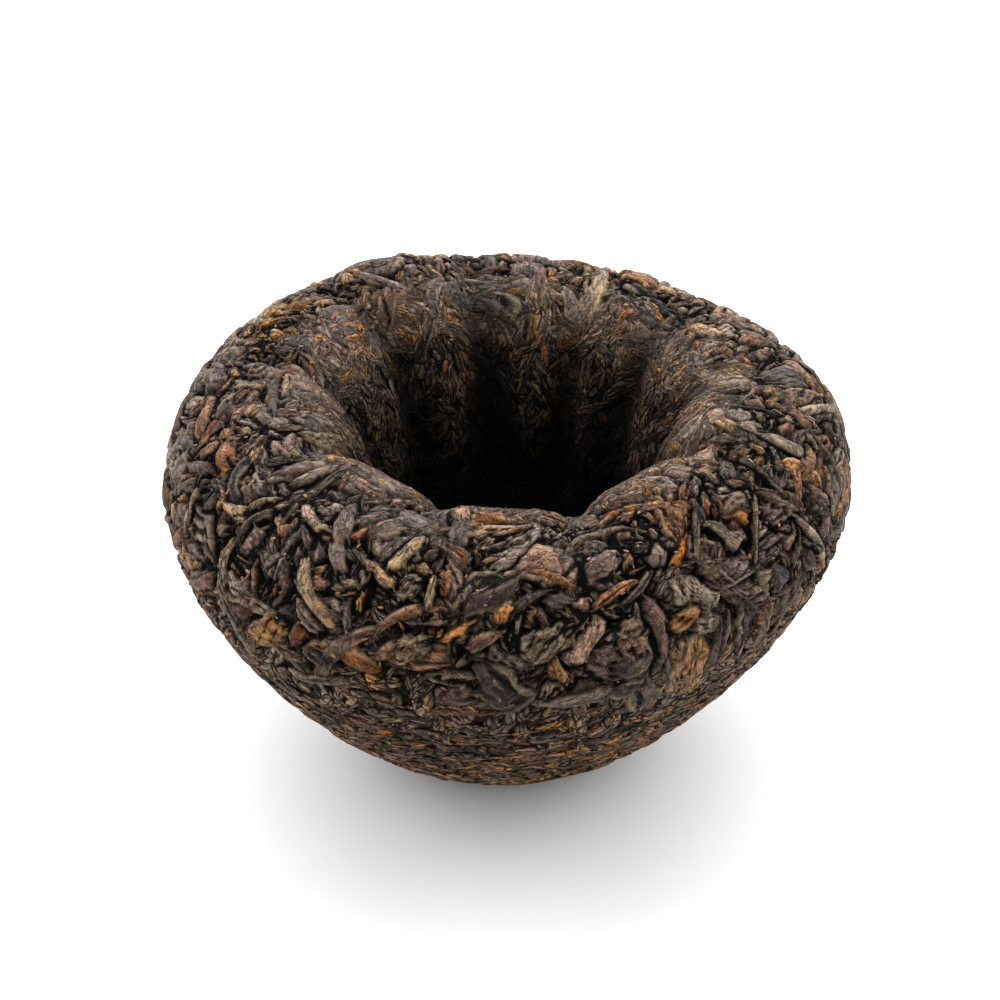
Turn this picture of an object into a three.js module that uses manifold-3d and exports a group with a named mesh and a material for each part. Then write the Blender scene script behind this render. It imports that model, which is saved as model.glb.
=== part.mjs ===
// A pu-erh tuocha of about 100 g: dark tea leaf, steamed, gathered in a cloth bag and pressed into a thick
// nest with a hollow in its top. It is one piece. The solid's skin is a mosaic of ridges of leaf size with
// grooves between them, laid on a profile turned round the axis, made uneven as a pressed cake is and
// creased where the bag was knotted. The largest of the leaves that lie on the skin are thin wavy solids,
// fused on.
//
// Millimetres, +Z up. The origin is in the middle of the foot, under the middle of the bounding box, and the
// hollow opens upwards.

import * as THREE from "three";
import { ConvexHull } from "three/addons/math/ConvexHull.js";
import { mergeVertices } from "three/addons/utils/BufferGeometryUtils.js";
import Module from "manifold-3d";

// The cake's profile, from the foot out to the widest ring, over the rim and down into the hollow.
const FOOT_RADIUS = 12.5;
const WIDEST_RADIUS = 41;
const WIDEST_HEIGHT = 34;
const CREST_RADIUS = 27;
const CREST_HEIGHT = 48.6;
const THROAT_RADIUS = 15.5;
const THROAT_HEIGHT = 26.5;
const FLOOR_HEIGHT = 14;

// How full each stretch of the profile is: 1 is a straight cone, 2 an ellipse, more is squarer.
const FLANK_FULLNESS = 1.36;
const SHOULDER_FULLNESS = 2.5;
const LIP_FULLNESS = 2.2;
const POCKET_FULLNESS = 1.8;

// Hand pressing leaves the cake uneven: lobes per turn, the height of each and where its first peak is.
const WALL_WAVES = [
  { lobes: 2, height: 0.38, at: 51 },
  { lobes: 3, height: 0.42, at: 4 },
];
const RIM_WAVES = [
  { lobes: 1, height: 0.66, at: -132 },
  { lobes: 2, height: 0.68, at: -15 },
  { lobes: 3, height: 0.52, at: -16 },
];
const RIM_HUMPS = [
  { at: 116, width: 9, height: 0.9 },
  { at: 98, width: 7, height: -0.6 },
  { at: 61, width: 6, height: 0.5 },
];
const HOLLOW_SHIFT = 0.9; // the hollow is this far off the middle, along X

// The creases that the gathered cloth leaves, from the shoulder over the rim and down the hollow's wall.
const CREASES = [
  { at: 8, width: 2.2, depth: 1.3 },
  { at: 42, width: 2.6, depth: 2.2 },
  { at: 68, width: 2.0, depth: 1.6 },
  { at: 99, width: 2.6, depth: 2.2 },
  { at: 134, width: 2.4, depth: 1.9 },
  { at: 170, width: 2.2, depth: 1.5 },
  { at: 211, width: 2.6, depth: 2.0 },
  { at: 250, width: 2.0, depth: 1.4 },
  { at: 288, width: 2.6, depth: 2.0 },
  { at: 327, width: 2.2, depth: 1.6 },
];
const CREASE_STARTS = 0.6; // share of the way from the widest ring to the crest
const CREASE_IS_FULL = 0.25; // share of the way from the crest to the throat

// The leaves pressed into the skin. Each is a ridge along its length, one point for each step.
const PRESSED_LENGTH = [5, 12];
const PRESSED_WIDTH = [2.4, 3.8];
const PRESSED_RISE = [0.2, 0.6];
const PRESSED_STEP = 2.4;
const PRESSED_WAVE = 0.2; // how much of its rise comes and goes from step to step
const PRESSED_END = 0.5; // the rise at its two ends, as a share
const PRESSED_TRIES = 9000; // places tried, from the longest leaf to the shortest
const PRESSED_SEED = 7;

// The grooves that part the pressed leaves.
const GROOVE_DEPTH = 0.5;
const GROOVE_SPACING = 1.85; // between two points in the grooves
const GROOVE_GAP = 0.75; // how far they stay from a ridge, in half widths of its leaf
const GROOVE_TRIES = 26000;
const GROOVE_SEED = 11;

// The largest leaves, fused on: each a thin wavy solid that lies along the skin, half sunk in it.
const LEAF_COUNT = 46;
const LEAF_LENGTH = [9, 13];
const LEAF_WIDTH = [3, 4.4];
const LEAF_RISE = [0.7, 1.05]; // the height of its back over the skin
const LEAF_WAVE = 0.25; // how much of that height comes and goes along the leaf
const LEAF_ROOT = 1.5; // how deep the hidden underside reaches below the skin
const LEAF_TIP_DEPTH = 0.2; // how deep the two pointed ends are tucked in
const LEAF_TILT = 0.12; // how far one edge may stand over the other, as a share of the leaf's width
const LEAF_BLUNTNESS = 0.4; // 1 would be a spindle, 0 a strip with square ends
const LEAF_STATIONS = 3; // rings between the two pointed ends
const LEAF_SEED = 5;
const LEAVES_FROM = 0.45; // share of the way from the foot to the widest ring
const LEAVES_TO = 0.2; // share of the way from the crest to the throat

// How the leaves lie: level round the flank, any way on the shoulder, and down the wall of the hollow. The
// heading is in degrees from level, with a spread to either side. Those inside the rim are smaller.
const FLANK_LIE = { heading: 0, spread: 18 };
const SHOULDER_LIE = { heading: 0, spread: 80 };
const HOLLOW_LIE = { heading: 90, spread: 20 };
const SHOULDER_STARTS = 0.65; // share of the way from the foot to the widest ring
const HOLLOW_STARTS = 0.3; // share of the way from the crest to the throat
const HOLLOW_SCALE = 0.85;
const LEAF_BEND = 0.07; // radians per millimetre of length, to either side

// The foot is a flat ring of points, and everything else stays clear of the table.
const FOOT_SIDES = 28;
const FOOT_CLEARANCE = 0.15;

const WELD = 1e-4; // vertices closer than this are one
const SMALLEST_STEP = 0.02; // detail finer than this is left out of the joined solid

const TEA = new THREE.MeshStandardMaterial({ color: "#43362c", roughness: 0.85, metalness: 0 });

const radians = (degrees) => (degrees * Math.PI) / 180;
const mix = (from, to, share) => from + (to - from) * share;
const clamp = (x) => Math.min(1, Math.max(0, x));

// A seeded random number from 0 to 1 (the common mulberry32 generator).
function randomFrom(seed) {
  let state = seed;
  return () => {
    state = (state + 0x6d2b79f5) | 0;
    let t = Math.imul(state ^ (state >>> 15), 1 | state);
    t = (t + Math.imul(t ^ (t >>> 7), 61 | t)) ^ t;
    return ((t ^ (t >>> 14)) >>> 0) / 4294967296;
  };
}

// A quarter of a superellipse from one point to another. It leaves the first point level or upright, and
// meets the second at a right angle to that.
function quarter(from, to, fullness, leavesLevel) {
  const steps = 24;
  const points = [];
  for (let i = 1; i <= steps; i++) {
    const angle = ((i / steps) * Math.PI) / 2;
    const early = Math.sin(angle) ** (2 / fullness);
    const late = 1 - Math.cos(angle) ** (2 / fullness);
    const [r, z] = leavesLevel ? [early, late] : [late, early];
    points.push(new THREE.Vector2(mix(from.x, to.x, r), mix(from.y, to.y, z)));
  }
  return points;
}

// The whole profile as points of radius and height, with the distance along it at each.
function profile() {
  const foot = new THREE.Vector2(FOOT_RADIUS, 0);
  const widest = new THREE.Vector2(WIDEST_RADIUS, WIDEST_HEIGHT);
  const crest = new THREE.Vector2(CREST_RADIUS, CREST_HEIGHT);
  const throat = new THREE.Vector2(THROAT_RADIUS, THROAT_HEIGHT);
  const floor = new THREE.Vector2(0, FLOOR_HEIGHT);
  const points = [
    foot,
    ...quarter(foot, widest, FLANK_FULLNESS, true),
    ...quarter(widest, crest, SHOULDER_FULLNESS, false),
    ...quarter(crest, throat, LIP_FULLNESS, true),
    ...quarter(throat, floor, POCKET_FULLNESS, false),
  ];
  let length = 0;
  return points.map((point, i) => {
    length += i ? point.distanceTo(points[i - 1]) : 0;
    return { r: point.x, z: point.y, along: length };
  });
}

const OUTLINE = profile();
const OUTLINE_LENGTH = OUTLINE.at(-1).along;
const AT_WIDEST = OUTLINE.reduce((a, b) => (b.r > a.r ? b : a)).along;
const AT_CREST = OUTLINE.reduce((a, b) => (b.z > a.z ? b : a)).along;
const AT_THROAT = OUTLINE.find((p) => p.along > AT_CREST && p.z <= THROAT_HEIGHT).along;

// Radius and height at a distance along the profile.
function outlineAt(along) {
  const s = Math.min(Math.max(along, 0), OUTLINE_LENGTH);
  let i = 1;
  while (i < OUTLINE.length - 1 && OUTLINE[i].along < s) i++;
  const [a, b] = [OUTLINE[i - 1], OUTLINE[i]];
  const share = (s - a.along) / (b.along - a.along);
  return [mix(a.r, b.r, share), mix(a.z, b.z, share)];
}

const waves = (list, azimuth) =>
  list.reduce((sum, w) => sum + w.height * Math.cos(w.lobes * (azimuth - radians(w.at))), 0);

// The shorter way round between two azimuths.
const turn = (a, b) => Math.atan2(Math.sin(a - b), Math.cos(a - b));

const humps = (azimuth) =>
  RIM_HUMPS.reduce((sum, h) => {
    const away = turn(azimuth, radians(h.at)) / radians(h.width);
    return sum + h.height * Math.exp(-away * away);
  }, 0);

// How deep the cloth's creases are at a place.
function creaseDepth(azimuth, along) {
  const [r] = outlineAt(along);
  const start = mix(AT_WIDEST, AT_CREST, CREASE_STARTS);
  const full = mix(AT_CREST, AT_THROAT, CREASE_IS_FULL);
  const share = clamp((along - start) / (full - start));
  const fade = share * share * (3 - 2 * share) * clamp(r / THROAT_RADIUS);
  return CREASES.reduce((sum, c) => {
    const away = (turn(azimuth, radians(c.at)) * r) / c.width;
    return sum + c.depth * fade * Math.exp(-away * away);
  }, 0);
}

// A place on the uneven skin, without its creases.
function smoothSkin(azimuth, along) {
  const [r, z] = outlineAt(along);
  const outward = clamp((r - FOOT_RADIUS) / (WIDEST_RADIUS - FOOT_RADIUS));
  const inward = along < AT_WIDEST ? 0 : clamp((WIDEST_RADIUS - r) / (WIDEST_RADIUS - THROAT_RADIUS));
  const up = clamp(z / CREST_HEIGHT);
  const radius = r + waves(WALL_WAVES, azimuth) * outward;
  return new THREE.Vector3(
    radius * Math.cos(azimuth) + HOLLOW_SHIFT * inward,
    radius * Math.sin(azimuth),
    z + waves(RIM_WAVES, azimuth) * up + humps(azimuth) * up ** 4,
  );
}

// The skin's outward direction at a place.
function outwardAt(azimuth, along) {
  const step = 0.4;
  const [r] = outlineAt(along);
  const turned = step / Math.max(r, 1);
  const round = smoothSkin(azimuth + turned, along).sub(smoothSkin(azimuth - turned, along));
  const onward = smoothSkin(azimuth, along + step).sub(smoothSkin(azimuth, along - step));
  return new THREE.Vector3().crossVectors(round, onward).normalize();
}

// A place at a height over the creased skin.
function skin(azimuth, along, height) {
  const out = outwardAt(azimuth, along);
  return smoothSkin(azimuth, along).addScaledVector(out, height - creaseDepth(azimuth, along));
}

// A closed mesh as a solid.
function solidOf(wasm, geometry) {
  geometry.deleteAttribute("normal");
  geometry.deleteAttribute("uv");
  const merged = mergeVertices(geometry, WELD);
  const mesh = new wasm.Mesh({
    numProp: 3,
    vertProperties: merged.attributes.position.array,
    triVerts: new Uint32Array(merged.index.array),
  });
  return new wasm.Manifold(mesh);
}

// A geometry of points and of triangles that name them by number.
function geometryOf(points, triangles) {
  const geometry = new THREE.BufferGeometry().setFromPoints(points);
  geometry.setIndex(triangles);
  return geometry;
}

// Rows along the profile, each with the skin's area up to there, and the stretch that turns the profile into
// the meridian of a ball without shearing what lies on it.
function rows() {
  const count = 800;
  const step = OUTLINE_LENGTH / count;
  const list = [{ along: 0, area: 0, stretch: 0 }];
  for (let i = 1; i < count; i++) {
    const { along, area, stretch } = list[i - 1];
    const [r] = outlineAt(along + step / 2);
    list.push({ along: along + step, area: area + r * step, stretch: stretch + step / r });
  }
  return list;
}

const ROWS = rows();

// The row's value of one kind where another has a given value.
function rowValue(wanted, key, given) {
  const i = Math.max(1, ROWS.findIndex((row) => row[given] >= wanted));
  const [a, b] = [ROWS[i - 1], ROWS[i]];
  return mix(a[key], b[key], (wanted - a[given]) / (b[given] - a[given]));
}

// A random distance along the profile, with as many on one square millimetre of skin as on the next.
const anyAlong = (random) => rowValue(random() * ROWS.at(-1).area, "along", "area");

// The place on the ball of a place on the skin: the foot's middle is its south pole, the hollow's floor the
// north.
const STRETCH_AT_WIDEST = rowValue(AT_WIDEST, "stretch", "along");
function onBall(azimuth, along) {
  const stretch = rowValue(along, "stretch", "along") - STRETCH_AT_WIDEST;
  return new THREE.Vector3().setFromSphericalCoords(1, Math.PI - 2 * Math.atan(Math.exp(stretch)), azimuth);
}

// How one leaf lies at a place, and its length and width there.
function leafAt(random, azimuth, along, lengths, widths) {
  const eitherWay = (most) => (random() * 2 - 1) * most;
  const onFlank = along < AT_WIDEST * SHOULDER_STARTS;
  const inHollow = along > mix(AT_CREST, AT_THROAT, HOLLOW_STARTS);
  const lie = onFlank ? FLANK_LIE : inHollow ? HOLLOW_LIE : SHOULDER_LIE;
  const scale = inHollow ? HOLLOW_SCALE : 1;
  return {
    azimuth,
    along,
    heading: radians(lie.heading + eitherWay(lie.spread)),
    bend: eitherWay(LEAF_BEND),
    length: mix(...lengths, random()) * scale,
    width: mix(...widths, random()) * scale,
  };
}

// A place beside another one, a distance away along a heading.
function beside({ azimuth, along }, heading, distance) {
  const radius = Math.max(outlineAt(along)[0], 4);
  return {
    azimuth: azimuth + (Math.cos(heading) * distance) / radius,
    along: along + Math.sin(heading) * distance,
  };
}

// Places along a leaf's shallow curve, from end to end, each with the heading there.
function spine(leaf, steps) {
  const step = leaf.length / steps;
  let heading = leaf.heading - (leaf.bend * leaf.length) / 2;
  let place = beside(leaf, heading, -leaf.length / 2);
  const places = [{ ...place, heading }];
  for (let i = 0; i < steps; i++) {
    heading += leaf.bend * step;
    place = beside(place, heading, step);
    places.push({ ...place, heading });
  }
  return places;
}

// The pressed leaves' ridges: the longest are laid first, and each only where it has room.
function ridges() {
  const random = randomFrom(PRESSED_SEED);
  const points = [];
  for (let i = 0; i < PRESSED_TRIES; i++) {
    const longest = mix(...PRESSED_LENGTH, 1 - i / PRESSED_TRIES);
    const lengths = [PRESSED_LENGTH[0], longest];
    const leaf = leafAt(random, random() * 2 * Math.PI, anyAlong(random), lengths, PRESSED_WIDTH);
    const rise = mix(...PRESSED_RISE, random());
    const half = leaf.width / 2;
    const places = spine(leaf, Math.max(1, Math.round(leaf.length / PRESSED_STEP)));
    const ridge = places.map(({ azimuth, along }, j) => {
      const isEnd = j === 0 || j === places.length - 1;
      const share = isEnd ? PRESSED_END : 1 + (j % 2 ? PRESSED_WAVE : -PRESSED_WAVE);
      return { azimuth, along, half, leaf: i, at: smoothSkin(azimuth, along), height: rise * share };
    });
    const offSkin = ridge.some((p) => p.along < leaf.width || p.along > OUTLINE_LENGTH - half);
    if (offSkin) continue;
    const clear = ridge.every((p) => points.every((q) => p.at.distanceTo(q.at) > p.half + q.half));
    if (clear) points.push(...ridge);
  }
  return points;
}

// Points in the grooves. Those most nearly half way between two leaves come first, and each is clear of the
// others.
function grooves(ridgePoints) {
  const random = randomFrom(GROOVE_SEED);
  const candidates = [];
  for (let i = 0; i < GROOVE_TRIES; i++) {
    const [azimuth, along] = [random() * 2 * Math.PI, anyAlong(random)];
    const at = smoothSkin(azimuth, along);
    let [nearest, second] = [{ away: Infinity }, { away: Infinity }];
    for (const { leaf, half, at: ridgeAt } of ridgePoints) {
      const away = at.distanceTo(ridgeAt) / half;
      if (away < nearest.away) {
        if (leaf !== nearest.leaf) second = nearest;
        nearest = { leaf, away };
      } else if (leaf !== nearest.leaf && away < second.away) second = { leaf, away };
    }
    const onSkin = along > GROOVE_SPACING / 2 && along < OUTLINE_LENGTH - GROOVE_SPACING / 2;
    if (onSkin && nearest.away > GROOVE_GAP) {
      candidates.push({ azimuth, along, at, height: -GROOVE_DEPTH, off: second.away - nearest.away });
    }
  }
  candidates.sort((a, b) => a.off - b.off);
  const points = [];
  for (const c of candidates) {
    if (points.every((p) => p.at.distanceTo(c.at) > GROOVE_SPACING)) points.push(c);
  }
  return points;
}

// The mosaic. The edges of the convex hull of the points on the ball link each to its neighbours, and the
// same links make the skin's triangles.
function mosaic(wasm) {
  const ridgePoints = ridges();
  const onBallPoints = [new THREE.Vector3(0, -1, 0), new THREE.Vector3(0, 1, 0)];
  const points = [new THREE.Vector3(0, 0, 0), skin(0, OUTLINE_LENGTH, 0)];
  for (let i = 0; i < FOOT_SIDES; i++) {
    const azimuth = (2 * Math.PI * i) / FOOT_SIDES;
    onBallPoints.push(onBall(azimuth, 0));
    points.push(skin(azimuth, 0, 0).setZ(0));
  }
  for (const { azimuth, along, height } of [...ridgePoints, ...grooves(ridgePoints)]) {
    const place = skin(azimuth, along, height);
    onBallPoints.push(onBall(azimuth, along));
    points.push(place.setZ(Math.max(place.z, FOOT_CLEARANCE)));
  }
  const numberOf = new Map(onBallPoints.map((point, i) => [point, i]));
  const triangles = new ConvexHull()
    .setFromPoints(onBallPoints)
    .faces.flatMap((face) => [0, 1, 2].map((side) => numberOf.get(face.getEdge(side).head().point)));
  return solidOf(wasm, geometryOf(points, triangles));
}

// One of the largest leaves. Its back is waved and its two ends are pointed; the underside is a keel hidden
// in the cake.
function leafSolid(wasm, leaf, rise, tilt) {
  const places = spine(leaf, LEAF_STATIONS + 1);
  const at = (place, side, height) => {
    const { azimuth, along } = beside(place, place.heading + Math.PI / 2, side);
    return skin(azimuth, along, height);
  };
  const points = [at(places[0], 0, -LEAF_TIP_DEPTH)];
  for (let station = 1; station <= LEAF_STATIONS; station++) {
    const share = station / (LEAF_STATIONS + 1);
    const half = (leaf.width / 2) * Math.sin(Math.PI * share) ** LEAF_BLUNTNESS;
    const back = rise * (1 + (station % 2 ? LEAF_WAVE : -LEAF_WAVE));
    points.push(at(places[station], -half, tilt * half));
    points.push(at(places[station], -half / 5, back));
    points.push(at(places[station], half, -tilt * half));
    points.push(at(places[station], 0, -LEAF_ROOT));
  }
  points.push(at(places.at(-1), 0, -LEAF_TIP_DEPTH));

  const end = points.length - 1;
  const triangles = [];
  for (let side = 0; side < 4; side++) {
    const next = (side + 1) % 4;
    triangles.push(0, 1 + side, 1 + next, end, end - 4 + next, end - 4 + side);
    for (let station = 0; station < LEAF_STATIONS - 1; station++) {
      const [a, b] = [1 + station * 4 + side, 1 + station * 4 + next];
      triangles.push(a, a + 4, b, b, a + 4, b + 4);
    }
  }
  return solidOf(wasm, geometryOf(points, triangles));
}

// The largest leaves, spread evenly from the upper flank to inside the rim, each a golden angle on from the
// last.
function leaves(wasm) {
  const random = randomFrom(LEAF_SEED);
  const goldenAngle = Math.PI * (3 - Math.sqrt(5));
  const from = rowValue(AT_WIDEST * LEAVES_FROM, "area", "along");
  const to = rowValue(mix(AT_CREST, AT_THROAT, LEAVES_TO), "area", "along");
  return Array.from({ length: LEAF_COUNT }, (_, i) => {
    const along = rowValue(mix(from, to, (i + 0.5) / LEAF_COUNT), "along", "area");
    const leaf = leafAt(random, i * goldenAngle, along, LEAF_LENGTH, LEAF_WIDTH);
    return leafSolid(wasm, leaf, mix(...LEAF_RISE, random()), (random() * 2 - 1) * LEAF_TILT);
  });
}

// Everything joined and cut flat at the foot, with sealed pockets filled and loose scraps left out, and
// moved so that the origin is under the middle.
async function cake() {
  const wasm = await Module();
  wasm.setup();
  const underTable = new THREE.BoxGeometry(200, 200, 20).translate(0, 0, -10);
  const joined = wasm.Manifold.union([mosaic(wasm), ...leaves(wasm)]).subtract(solidOf(wasm, underTable));
  const bodies = joined.simplify(SMALLEST_STEP).decompose();
  const whole = bodies.reduce((largest, body) => (body.volume() > largest.volume() ? body : largest));
  const { vertProperties, triVerts } = whole.getMesh();
  const geometry = new THREE.BufferGeometry();
  geometry.setAttribute("position", new THREE.BufferAttribute(new Float32Array(vertProperties), 3));
  geometry.setIndex(new THREE.BufferAttribute(new Uint32Array(triVerts), 1));
  geometry.computeBoundingBox();
  const middle = geometry.boundingBox.getCenter(new THREE.Vector3());
  geometry.translate(-middle.x, -middle.y, 0);
  geometry.computeVertexNormals();
  return geometry;
}

const tuocha = new THREE.Group();
const tea = new THREE.Mesh(await cake(), TEA);
tea.name = "tuocha";
tuocha.add(tea);

export default tuocha;
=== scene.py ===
import math
import bpy
import numpy as np
from mathutils import Matrix, Vector


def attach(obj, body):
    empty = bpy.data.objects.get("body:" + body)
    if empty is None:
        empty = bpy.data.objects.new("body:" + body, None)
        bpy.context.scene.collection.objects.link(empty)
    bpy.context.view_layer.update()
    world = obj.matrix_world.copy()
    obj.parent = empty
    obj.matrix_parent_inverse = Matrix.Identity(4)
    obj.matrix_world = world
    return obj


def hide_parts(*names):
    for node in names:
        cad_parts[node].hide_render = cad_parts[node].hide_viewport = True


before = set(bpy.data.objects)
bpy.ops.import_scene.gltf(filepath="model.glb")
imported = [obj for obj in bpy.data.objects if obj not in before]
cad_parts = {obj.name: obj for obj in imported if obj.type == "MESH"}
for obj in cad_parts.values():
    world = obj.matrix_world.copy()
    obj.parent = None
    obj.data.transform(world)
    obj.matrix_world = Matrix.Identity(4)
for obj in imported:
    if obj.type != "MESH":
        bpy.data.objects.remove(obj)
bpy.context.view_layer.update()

MM = 0.001

# ---------------------------------------------------------------- Camera
# The camera stands in front of the cake and looks down on it from 35 degrees above the table. The turned
# axis of the cake stands where the middle of its flat foot is.
cake = np.array([v.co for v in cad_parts["tuocha"].data.vertices]) / MM
foot = cake[cake[:, 2] < 0.01]
AXIS = (foot.min(axis=0) + foot.max(axis=0)) / 2 * (1, 1, 0)

LOOK_DOWN = math.radians(35)
CAMERA_AWAY = 328.0
AIM_HEIGHT = 22.55
CAMERA_LEFT = 0.53
CAMERA_UP = 7.91
LENS = 95.9
FILM = 36.0

forward = np.array((0, math.cos(LOOK_DOWN), -math.sin(LOOK_DOWN)))
upward = np.array((0, math.sin(LOOK_DOWN), math.cos(LOOK_DOWN)))
rightward = np.array((1.0, 0, 0))
aim = AXIS + (0, 0, AIM_HEIGHT)
eye = aim - CAMERA_AWAY * forward - CAMERA_LEFT * rightward + CAMERA_UP * upward

camera_data = bpy.data.cameras.new("camera")
camera_data.lens = LENS
camera_data.sensor_width = FILM
camera_data.clip_start = 0.01
camera_data.clip_end = 20
camera = bpy.data.objects.new("camera", camera_data)
bpy.context.scene.collection.objects.link(camera)
camera.matrix_world = Matrix.LocRotScale(
    Vector(eye * MM), Vector(forward).to_track_quat("-Z", "Y"), None)
bpy.context.scene.camera = camera

# ---------------------------------------------------------------- Core of the cake
# The inside of the cake is broken leaf and dust, steamed and pressed in a round mould: a nest with a deep
# hollow. Its core lies just under the leaves, and shows only as the floor of the gaps between them, darkened
# by painted shade.
FOOT_RADIUS = 12.5
WIDEST_RADIUS = 41.0
WIDEST_HEIGHT = 34.0
CREST_RADIUS = 27.0
CREST_HEIGHT = 48.6
THROAT_RADIUS = 15.5
THROAT_HEIGHT = 26.5
FLOOR_HEIGHT = 14.0
FLANK_FULLNESS = 1.36
SHOULDER_FULLNESS = 2.5
LIP_FULLNESS = 2.2
POCKET_FULLNESS = 1.8
QUARTER_POINTS = 24
WALL_WAVES = ((2, 0.38, 51), (3, 0.42, 4))
RIM_WAVES = ((1, 0.66, -132), (2, 0.68, -15), (3, 0.52, -16))
RIM_HUMPS = ((116, 9, 0.9), (98, 7, -0.6), (61, 6, 0.5))
HOLLOW_SHIFT = 0.9
CREASES = ((8, 2.2, 1.3), (42, 2.6, 2.2), (68, 2.0, 1.6), (99, 2.6, 2.2), (134, 2.4, 1.9),
           (170, 2.2, 1.5), (211, 2.6, 2.0), (250, 2.0, 1.4), (288, 2.6, 2.0), (327, 2.2, 1.6))
CREASE_STARTS = 0.6
CREASE_IS_FULL = 0.25
CORE_DEPTH = 1.25


def quarter(start, end, fullness, leaves_level):
    """A quarter of a full oval between two points of the cake's outline, as (radius, height)."""
    turn = np.linspace(0, np.pi / 2, QUARTER_POINTS + 1)[1:]
    early = np.sin(turn) ** (2 / fullness)
    late = 1 - np.cos(turn) ** (2 / fullness)
    outward, up = (early, late) if leaves_level else (late, early)
    return np.stack([start[0] + (end[0] - start[0]) * outward, start[1] + (end[1] - start[1]) * up], 1)


foot_edge = (FOOT_RADIUS, 0)
widest = (WIDEST_RADIUS, WIDEST_HEIGHT)
crest = (CREST_RADIUS, CREST_HEIGHT)
throat = (THROAT_RADIUS, THROAT_HEIGHT)
hollow_floor = (0, FLOOR_HEIGHT)
outline = np.vstack([
    [(0, 0), foot_edge],
    quarter(foot_edge, widest, FLANK_FULLNESS, True),
    quarter(widest, crest, SHOULDER_FULLNESS, False),
    quarter(crest, throat, LIP_FULLNESS, True),
    quarter(throat, hollow_floor, POCKET_FULLNESS, False)])
outline_along = np.concatenate([[0], np.cumsum(np.hypot(*np.diff(outline, axis=0).T))])
AT_WIDEST, AT_CREST, AT_THROAT, AT_FLOOR = outline_along[1 + QUARTER_POINTS * np.arange(1, 5)]


def radius_at(along):
    return np.interp(along, outline_along, outline[:, 0])


def mix(low, high, share):
    return low + (high - low) * share


def angle_from(azimuth, degrees):
    return (azimuth - np.radians(degrees) + np.pi) % (2 * np.pi) - np.pi


def waves(each, azimuth):
    return sum(height * np.cos(lobes * (azimuth - np.radians(at))) for lobes, height, at in each)


def crease_depth(azimuth, along):
    """How deep the creases that run over the rim and down the hollow lie under the skin."""
    radius = radius_at(along)
    start = mix(AT_WIDEST, AT_CREST, CREASE_STARTS)
    full = mix(AT_CREST, AT_THROAT, CREASE_IS_FULL)
    share = np.clip((along - start) / (full - start), 0, 1)
    fade = share ** 2 * (3 - 2 * share) * np.clip(radius / THROAT_RADIUS, 0, 1)
    return fade * sum(depth * np.exp(-(angle_from(azimuth, at) * radius / width) ** 2)
                      for at, width, depth in CREASES)


def smooth_skin(azimuth, along):
    """The cake's outer face before its creases, in mm from the foot's middle."""
    radius = radius_at(along)
    height = np.interp(along, outline_along, outline[:, 1])
    outward = np.clip((radius - FOOT_RADIUS) / (WIDEST_RADIUS - FOOT_RADIUS), 0, 1)
    inward = np.clip((WIDEST_RADIUS - radius) / (WIDEST_RADIUS - THROAT_RADIUS), 0, 1) * (along >= AT_WIDEST)
    up = np.clip(height / CREST_HEIGHT, 0, 1)
    humps = sum(rise * np.exp(-(np.degrees(angle_from(azimuth, at)) / width) ** 2)
                for at, width, rise in RIM_HUMPS)
    far = radius + waves(WALL_WAVES, azimuth) * outward
    return np.stack([far * np.cos(azimuth) + HOLLOW_SHIFT * inward, far * np.sin(azimuth),
                     height + waves(RIM_WAVES, azimuth) * up + humps * up ** 4], -1)


def skin(azimuth, along, height):
    """The point that lies `height` mm over the skin, in the frame's mm."""
    step = 0.4
    turned = step / np.maximum(radius_at(along), 1)
    round_way = smooth_skin(azimuth + turned, along) - smooth_skin(azimuth - turned, along)
    onward = smooth_skin(azimuth, along + step) - smooth_skin(azimuth, along - step)
    out = np.cross(round_way, onward)
    out /= np.linalg.norm(out, axis=-1, keepdims=True)
    return AXIS + smooth_skin(azimuth, along) + out * (height - crease_depth(azimuth, along))[..., None]


def mesh_of(name, points, faces, **attributes):
    """A smooth mesh from points in mm and quads or triangles, with its named attributes."""
    mesh = bpy.data.meshes.new(name)
    mesh.vertices.add(len(points))
    mesh.vertices.foreach_set("co", (points * MM).astype(np.float32).ravel())
    sizes = np.concatenate([np.full(len(f), f.shape[1]) for f in faces])
    corners = np.concatenate([f.ravel() for f in faces])
    mesh.loops.add(len(corners))
    mesh.loops.foreach_set("vertex_index", corners.astype(np.int32))
    mesh.polygons.add(len(sizes))
    mesh.polygons.foreach_set("loop_start", (np.cumsum(sizes) - sizes).astype(np.int32))
    mesh.polygons.foreach_set("use_smooth", np.ones(len(sizes), bool))
    for key, values in attributes.items():
        kind, field = ("FLOAT_VECTOR", "vector") if values.ndim == 2 else ("FLOAT", "value")
        made = mesh.attributes.new(key, kind, "POINT")
        made.data.foreach_set(field, values.astype(np.float32).ravel())
    mesh.update(calc_edges=True)
    mesh.validate()
    piece = bpy.data.objects.new(name, mesh)
    bpy.context.scene.collection.objects.link(piece)
    return piece


def ring_quads(rings, around):
    """Quads between rings of points, closed round the axis."""
    k = np.arange(around)
    beside = (k + 1) % around
    at = np.arange(rings - 1)[:, None] * around
    return np.stack([at + k, at + beside, at + around + beside, at + around + k], -1).reshape(-1, 4)


def colour(code):
    """An sRGB hex value as the linear colour that a shader takes."""
    parts = [int(code[i:i + 2], 16) / 255 for i in (1, 3, 5)]
    return (*(p / 12.92 if p <= 0.04045 else ((p + 0.055) / 1.055) ** 2.4 for p in parts), 1)


def add(tree, kind, inputs=(), **settings):
    """Adds a node with its settings, and sets or links its inputs."""
    made = tree.nodes.new(kind)
    for key, value in settings.items():
        setattr(made, key, value)
    for key, value in dict(inputs).items():
        if isinstance(value, bpy.types.NodeSocket):
            tree.links.new(value, made.inputs[key])
        else:
            made.inputs[key].default_value = value
    return made
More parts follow.
